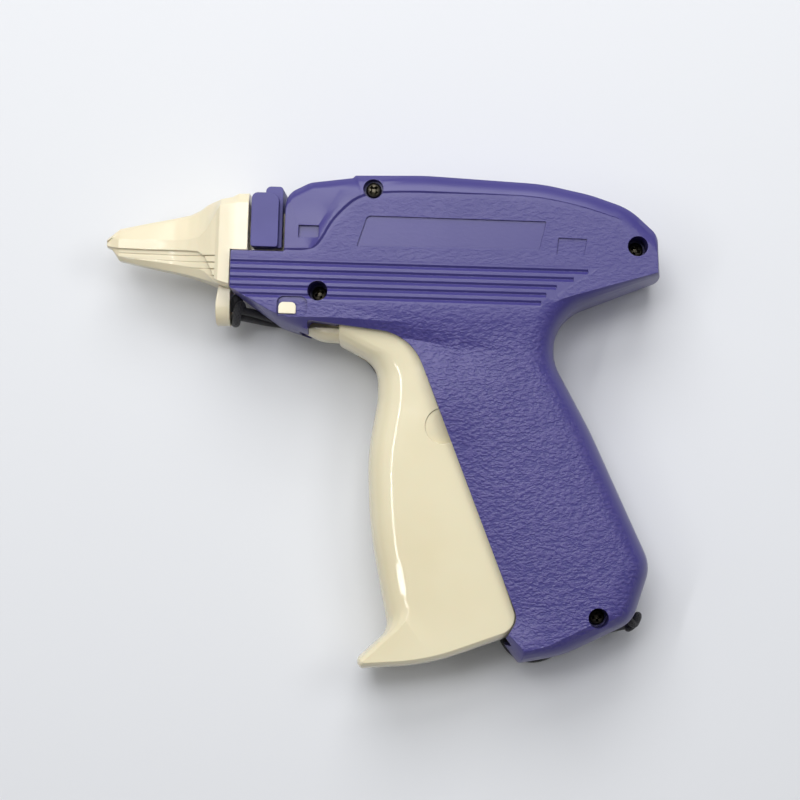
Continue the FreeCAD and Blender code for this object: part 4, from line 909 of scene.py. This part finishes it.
    def build(self, wardrobe: Wardrobe) -> None:
        """Sets out the screws and turns them into one plain mesh.

        Args:
            wardrobe: The finishes.
        """
        pattern = add_object("screw_pattern", self.screw_mesh())
        paint(pattern.data, wardrobe.black)
        points = bpy.data.meshes.new("screw_points")
        points.from_pydata([tuple(at(*head)) for head in self.heads], [], [])
        turns = points.attributes.new("turn", "FLOAT", "POINT")
        for item, angle in zip(turns.data, self.turns):
            item.value = angle
        holder = add_object("screw_points", points)
        holder.modifiers.new("screws", "NODES").node_group = self.node_group(pattern, wardrobe.black)
        mesh = evaluated_mesh(holder)
        mesh.name = "shell_screws_skin"
        bpy.data.objects.remove(holder)
        bpy.data.objects.remove(pattern)
        made = add_object("shell_screws_skin", mesh)
        Piece(made, Body.BODY, Slot.BLACK_SCREW, ("shell_screws", "top_screw")).place()


@dataclass
class Tether:
    """The limp cord from the cover's hitch, under the tool, to the knot at the strap hole."""

    diameter: float = 2.4 * MM
    tail_share: float = 0.92        # radius of the hitch's loose end, as a share of the cord's
    knot_share: float = 0.82        # radius of the cord where the knot is pulled tight
    domes: tuple[tuple[float, float], ...] = ((0.3, 0.8), (0.55, 0.45))
    crisp_angle: float = 60.0
    sides: int = 20
    route: list[Vector] = field(default_factory=lambda: [
        at(-22.4, -6.3, 14.2), at(-19.0, -6.5, 9.0), at(-15.6, -6.8, 3.9), at(-9.4, -7.2, 1.4),
        at(-1.6, -9.1, 1.25), at(6.0, -11.1, 1.25), at(14.2, -15.6, 1.25), at(21.0, -27.0, 1.25),
        at(22.8, -41.0, 1.25), at(23.6, -56.0, 1.25), at(28.4, -72.0, 1.25), at(38.5, -84.0, 1.25),
        at(51.6, -88.6, 1.25), at(55.1, -96.7, 1.25), at(62.4, -99.4, 1.25), at(71.0, -94.6, 1.25),
        at(79.2, -90.5, 1.25), at(85.8, -88.6, 3.2), at(88.7, -87.6, 9.8),
    ])
    hitch: list[Vector] = field(default_factory=lambda: [
        at(-27.4, -4.0, 15.0), at(-25.2, -4.0, 15.0), at(-23.7, -4.2, 15.8), at(-23.4, -1.9, 17.6),
        at(-22.6, -0.9, 15.2), at(-22.9, -2.9, 12.7), at(-23.3, -6.0, 12.4), at(-23.5, -8.3, 14.0),
        at(-22.9, -8.4, 17.0), at(-22.6, -5.6, 18.4), at(-21.9, -2.9, 17.0), at(-21.7, -4.2, 13.8),
        at(-22.3, -6.2, 13.6), at(-21.4, -6.4, 12.4),
    ])
    tail: list[Vector] = field(default_factory=lambda: [
        at(-23.0, -4.6, 17.6), at(-21.2, -4.9, 15.4), at(-18.6, -5.1, 11.4), at(-16.2, -5.5, 8.0),
        at(-14.0, -5.9, 5.4),
    ])
    knot: list[Vector] = field(default_factory=lambda: [
        at(84.6, -82.8, 15.0), at(88.0, -86.9, 14.8), at(89.1, -87.9, 13.2), at(90.2, -85.6, 12.4),
        at(90.2, -84.8, 10.8), at(89.0, -87.0, 9.6), at(87.8, -88.6, 9.0), at(87.5, -88.9, 10.8),
        at(88.7, -88.1, 11.8), at(89.7, -86.8, 9.9), at(88.8, -87.7, 9.0),
    ])

    def centre_points(self, name: str, route: list[Vector]) -> list[Vector]:
        """Returns points along the smooth curve that a route's points control.

        Args:
            name: A name for the curve.
            route: Its control points.
        """
        curve = bpy.data.curves.new(name, "CURVE")
        curve.dimensions = "3D"
        curve.resolution_u = 8
        spline = curve.splines.new("NURBS")
        spline.points.add(len(route) - 1)
        for point, place in zip(spline.points, route):
            point.co = (*place, 1.0)
        spline.order_u = 3
        spline.use_endpoint_u = True
        line = add_object(name, curve)
        mesh = evaluated_mesh(line)
        points = [vertex.co.copy() for vertex in mesh.vertices]
        bpy.data.meshes.remove(mesh)
        bpy.data.objects.remove(line)
        return points

    def stations(self, points: list[Vector], radius: float) -> list[tuple[Vector, float]]:
        """Returns the centre and radius of each ring of a cord, with its two domed ends.

        Args:
            points: The cord's middle line.
            radius: Its radius.
        """
        head = (points[0] - points[1]).normalized()
        tail = (points[-1] - points[-2]).normalized()
        start = [(points[0] + head * radius * reach, radius * share) for reach, share in self.domes]
        end = [(points[-1] + tail * radius * reach, radius * share) for reach, share in self.domes]
        return start[::-1] + [(point, radius) for point in points] + end

    def tube(self, work: bmesh.types.BMesh, points: list[Vector], radius: float) -> None:
        """Adds a round cord with domed ends and a UV map along its length.

        Args:
            work: The mesh being made.
            points: The cord's middle line.
            radius: Its radius.
        """
        layer = work.loops.layers.uv.verify()
        angles = circle_angles(self.sides)
        stations = self.stations(points, radius)
        side = Vector((0.3, 0.2, 1.0))      # any direction that the cord doesn't start in
        rings, along_cord, travelled = [], [], 0.0
        for k, (here, wide) in enumerate(stations):
            before, after = stations[max(k - 1, 0)][0], stations[min(k + 1, len(stations) - 1)][0]
            along = (after - before).normalized()
            side = (side - along * side.dot(along)).normalized()
            across = along.cross(side)
            travelled += (here - before).length
            along_cord.append(travelled)
            rings.append([work.verts.new(here + (side * math.cos(angle) + across * math.sin(angle)) * wide)
                          for angle in angles])
        for k, (first, second) in enumerate(zip(rings, rings[1:])):
            for j in range(self.sides):
                face = work.faces.new((first[j], first[j - 1], second[j - 1], second[j]))
                turn, next_turn = j / self.sides, (j - 1) / self.sides
                spots = ((turn, k), (next_turn, k), (next_turn, k + 1), (turn, k + 1))
                for loop, (around, station) in zip(face.loops, spots):
                    loop[layer].uv = (around, along_cord[station])
        work.faces.new(rings[0])
        work.faces.new(rings[-1][::-1])

    def cord_object(self, name: str, lines: list[tuple[list[Vector], float]],
                    material: bpy.types.Material) -> bpy.types.Object:
        """Returns one object of several cords.

        Args:
            name: The object's name.
            lines: The middle line and radius of each cord.
            material: Its finish.
        """
        work = bmesh.new()
        for points, radius in lines:
            self.tube(work, points, radius)
        mesh = finished_mesh(work, name, self.crisp_angle)
        paint(mesh, material)
        return add_object(name, mesh)

    def build(self, wardrobe: Wardrobe) -> None:
        """Args:
            wardrobe: The finishes.
        """
        radius = self.diameter / 2
        hitch_lines = [(self.centre_points("hitch_line", self.hitch), radius),
                       (self.centre_points("tail_line", self.tail), radius * self.tail_share)]
        hitch = self.cord_object("tether_hitch_skin", hitch_lines, wardrobe.cord)
        Piece(hitch, Body.COVER, Slot.CORD, ("tether_hitch",)).place()
        knot_lines = [(self.centre_points("knot_line", self.knot), radius * self.knot_share)]
        knot = self.cord_object("tether_knot_skin", knot_lines, wardrobe.cord)
        Piece(knot, Body.BODY, Slot.CORD, ("tether_knot",)).place()
        points = self.centre_points("tether_line", self.route)
        cord = self.cord_object("tether_cord_skin", [(points, radius)], wardrobe.cord)
        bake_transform(cord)
        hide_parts("tether_cord")


# ------------------------------------------------------------------ studio
@dataclass(frozen=True)
class Lamp:
    """A soft rectangular lamp that faces the tool. Places and sizes are in metres, and power in watts."""

    name: str
    place: tuple[float, float, float]
    size: tuple[float, float]
    power: float

    def hang(self, target: Vector) -> None:
        """Adds the lamp to the scene.

        Args:
            target: The point that it faces.
        """
        data = bpy.data.lights.new(self.name, "AREA")
        data.shape = "RECTANGLE"
        data.size, data.size_y = self.size
        data.energy = self.power
        turn = (target - Vector(self.place)).to_track_quat("-Z", "Y").to_matrix().to_4x4()
        add_object(self.name, data).matrix_world = Matrix.Translation(self.place) @ turn


@dataclass
class Studio:
    """The camera, the floor and the lamps."""

    focal_px: float = 2236.0
    picture_px: float = 800.0
    sensor_width: float = 36.0
    clip_start: float = 0.01
    height: float = 0.630
    nadir: tuple[float, float] = (41.0, -60.0)      # the drawing's point that lies under the camera
    nadir_px: tuple[float, float] = (62.0, 118.0)   # and where it is seen, from the picture's middle
    roll_degrees: float = 1.9
    floor_color: Color = srgb(222, 224, 228)
    floor_roughness: float = 0.8
    floor_reach: float = 2.5
    floor_drop: float = 0.0001
    sky: float = 0.2
    target: tuple[float, float, float] = (0.0, 0.0, 0.01)
    lamps: tuple[Lamp, ...] = (
        Lamp("key", (-0.15, 0.8, 0.85), (0.9, 0.5), 6.0),
        Lamp("upper_sheen", (-0.05, 0.27, 0.9), (0.6, 0.26), 2.4),
        Lamp("rear_sheen", (0.5, 0.22, 0.8), (0.3, 0.26), 1.3),
        Lamp("front_fill", (-0.7, 0.1, 0.8), (0.4, 0.7), 0.4),
        Lamp("front_line", (-0.43, 0.12, 0.78), (0.7, 0.025), 1.2),
        Lamp("screw_glint", (-0.14, 0.14, 0.74), (0.1, 0.1), 0.3),
    )
    strips: int = 13
    strip_start: tuple[float, float, float] = (-0.24, 0.66, 0.41)
    strip_step: float = 0.036
    strip_size: tuple[float, float] = (0.008, 0.12)
    strip_power: float = 0.05

    def camera(self) -> None:
        """Stands the camera over the tool, tipped so that the point under it is off centre."""
        roll = math.radians(self.roll_degrees)
        right_axis = Vector((math.cos(roll), -math.sin(roll), 0.0))
        up_axis = Vector((math.sin(roll), math.cos(roll), 0.0))
        look_px = Vector((-self.nadir_px[0], self.nadir_px[1], -self.focal_px)).normalized()
        right_px = look_px.cross(Vector((0.0, 1.0, 0.0))).normalized()
        up_px = right_px.cross(look_px)

        def turned(v: Vector) -> Vector:
            """Returns a picture-aligned direction in the part's frame."""
            return Vector((v.dot(right_axis), v.dot(up_axis), v.z))

        data = bpy.data.cameras.new("camera")
        data.sensor_width = self.sensor_width
        data.lens = self.sensor_width * self.focal_px / self.picture_px
        data.clip_start = self.clip_start
        foot = at(*self.nadir, 0.0)
        basis = Matrix((turned(right_px), turned(up_px), -turned(look_px))).transposed().to_4x4()
        basis.translation = Vector((foot.x, foot.y, self.height))
        made = add_object("camera", data)
        made.matrix_world = basis
        bpy.context.scene.camera = made

    def floor(self) -> None:
        """Lays a plain pale floor under the tool."""
        work = bmesh.new()
        bmesh.ops.create_grid(work, x_segments=1, y_segments=1, size=self.floor_reach)
        mesh = bpy.data.meshes.new("floor")
        work.to_mesh(mesh)
        work.free()
        paint(mesh, NodeSheet("pale_floor").finish(self.floor_color, self.floor_roughness))
        made = add_object("floor", mesh)
        made.location.z = -self.floor_drop

    def light(self) -> None:
        """Hangs the lamps and a row of narrow strips beyond the back, under a dim white sky."""
        x, y, z = self.strip_start
        row = [Lamp("strip_%d" % k, (x + self.strip_step * k, y, z), self.strip_size, self.strip_power)
               for k in range(self.strips)]
        for lamp in (*self.lamps, *row):
            lamp.hang(Vector(self.target))
        world = bpy.data.worlds.new("studio")
        world.use_nodes = True
        background = world.node_tree.nodes["Background"]
        background.inputs["Color"].default_value = (1.0, 1.0, 1.0, 1.0)
        background.inputs["Strength"].default_value = self.sky
        bpy.context.scene.world = world
        bpy.context.scene.view_settings.view_transform = "Standard"

    def build(self) -> None:
        """Sets the whole studio."""
        self.camera()
        self.floor()
        self.light()


def main() -> None:
    """Builds the whole scene, piece by piece."""
    logging.basicConfig(level=logging.INFO, format="%(name)s %(message)s", stream=sys.stdout)
    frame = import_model()
    nodes = frame["nodes"]
    wardrobe = Wardrobe()
    Studio().build()
    Tether().build(wardrobe)
    dress_shells(nodes, wardrobe)
    Screws().build(wardrobe)
    dress_small_mouldings(nodes, wardrobe)
    paint_mechanism(nodes, wardrobe)
    bpy.context.view_layer.update()


if __name__ == "__main__":
    main()
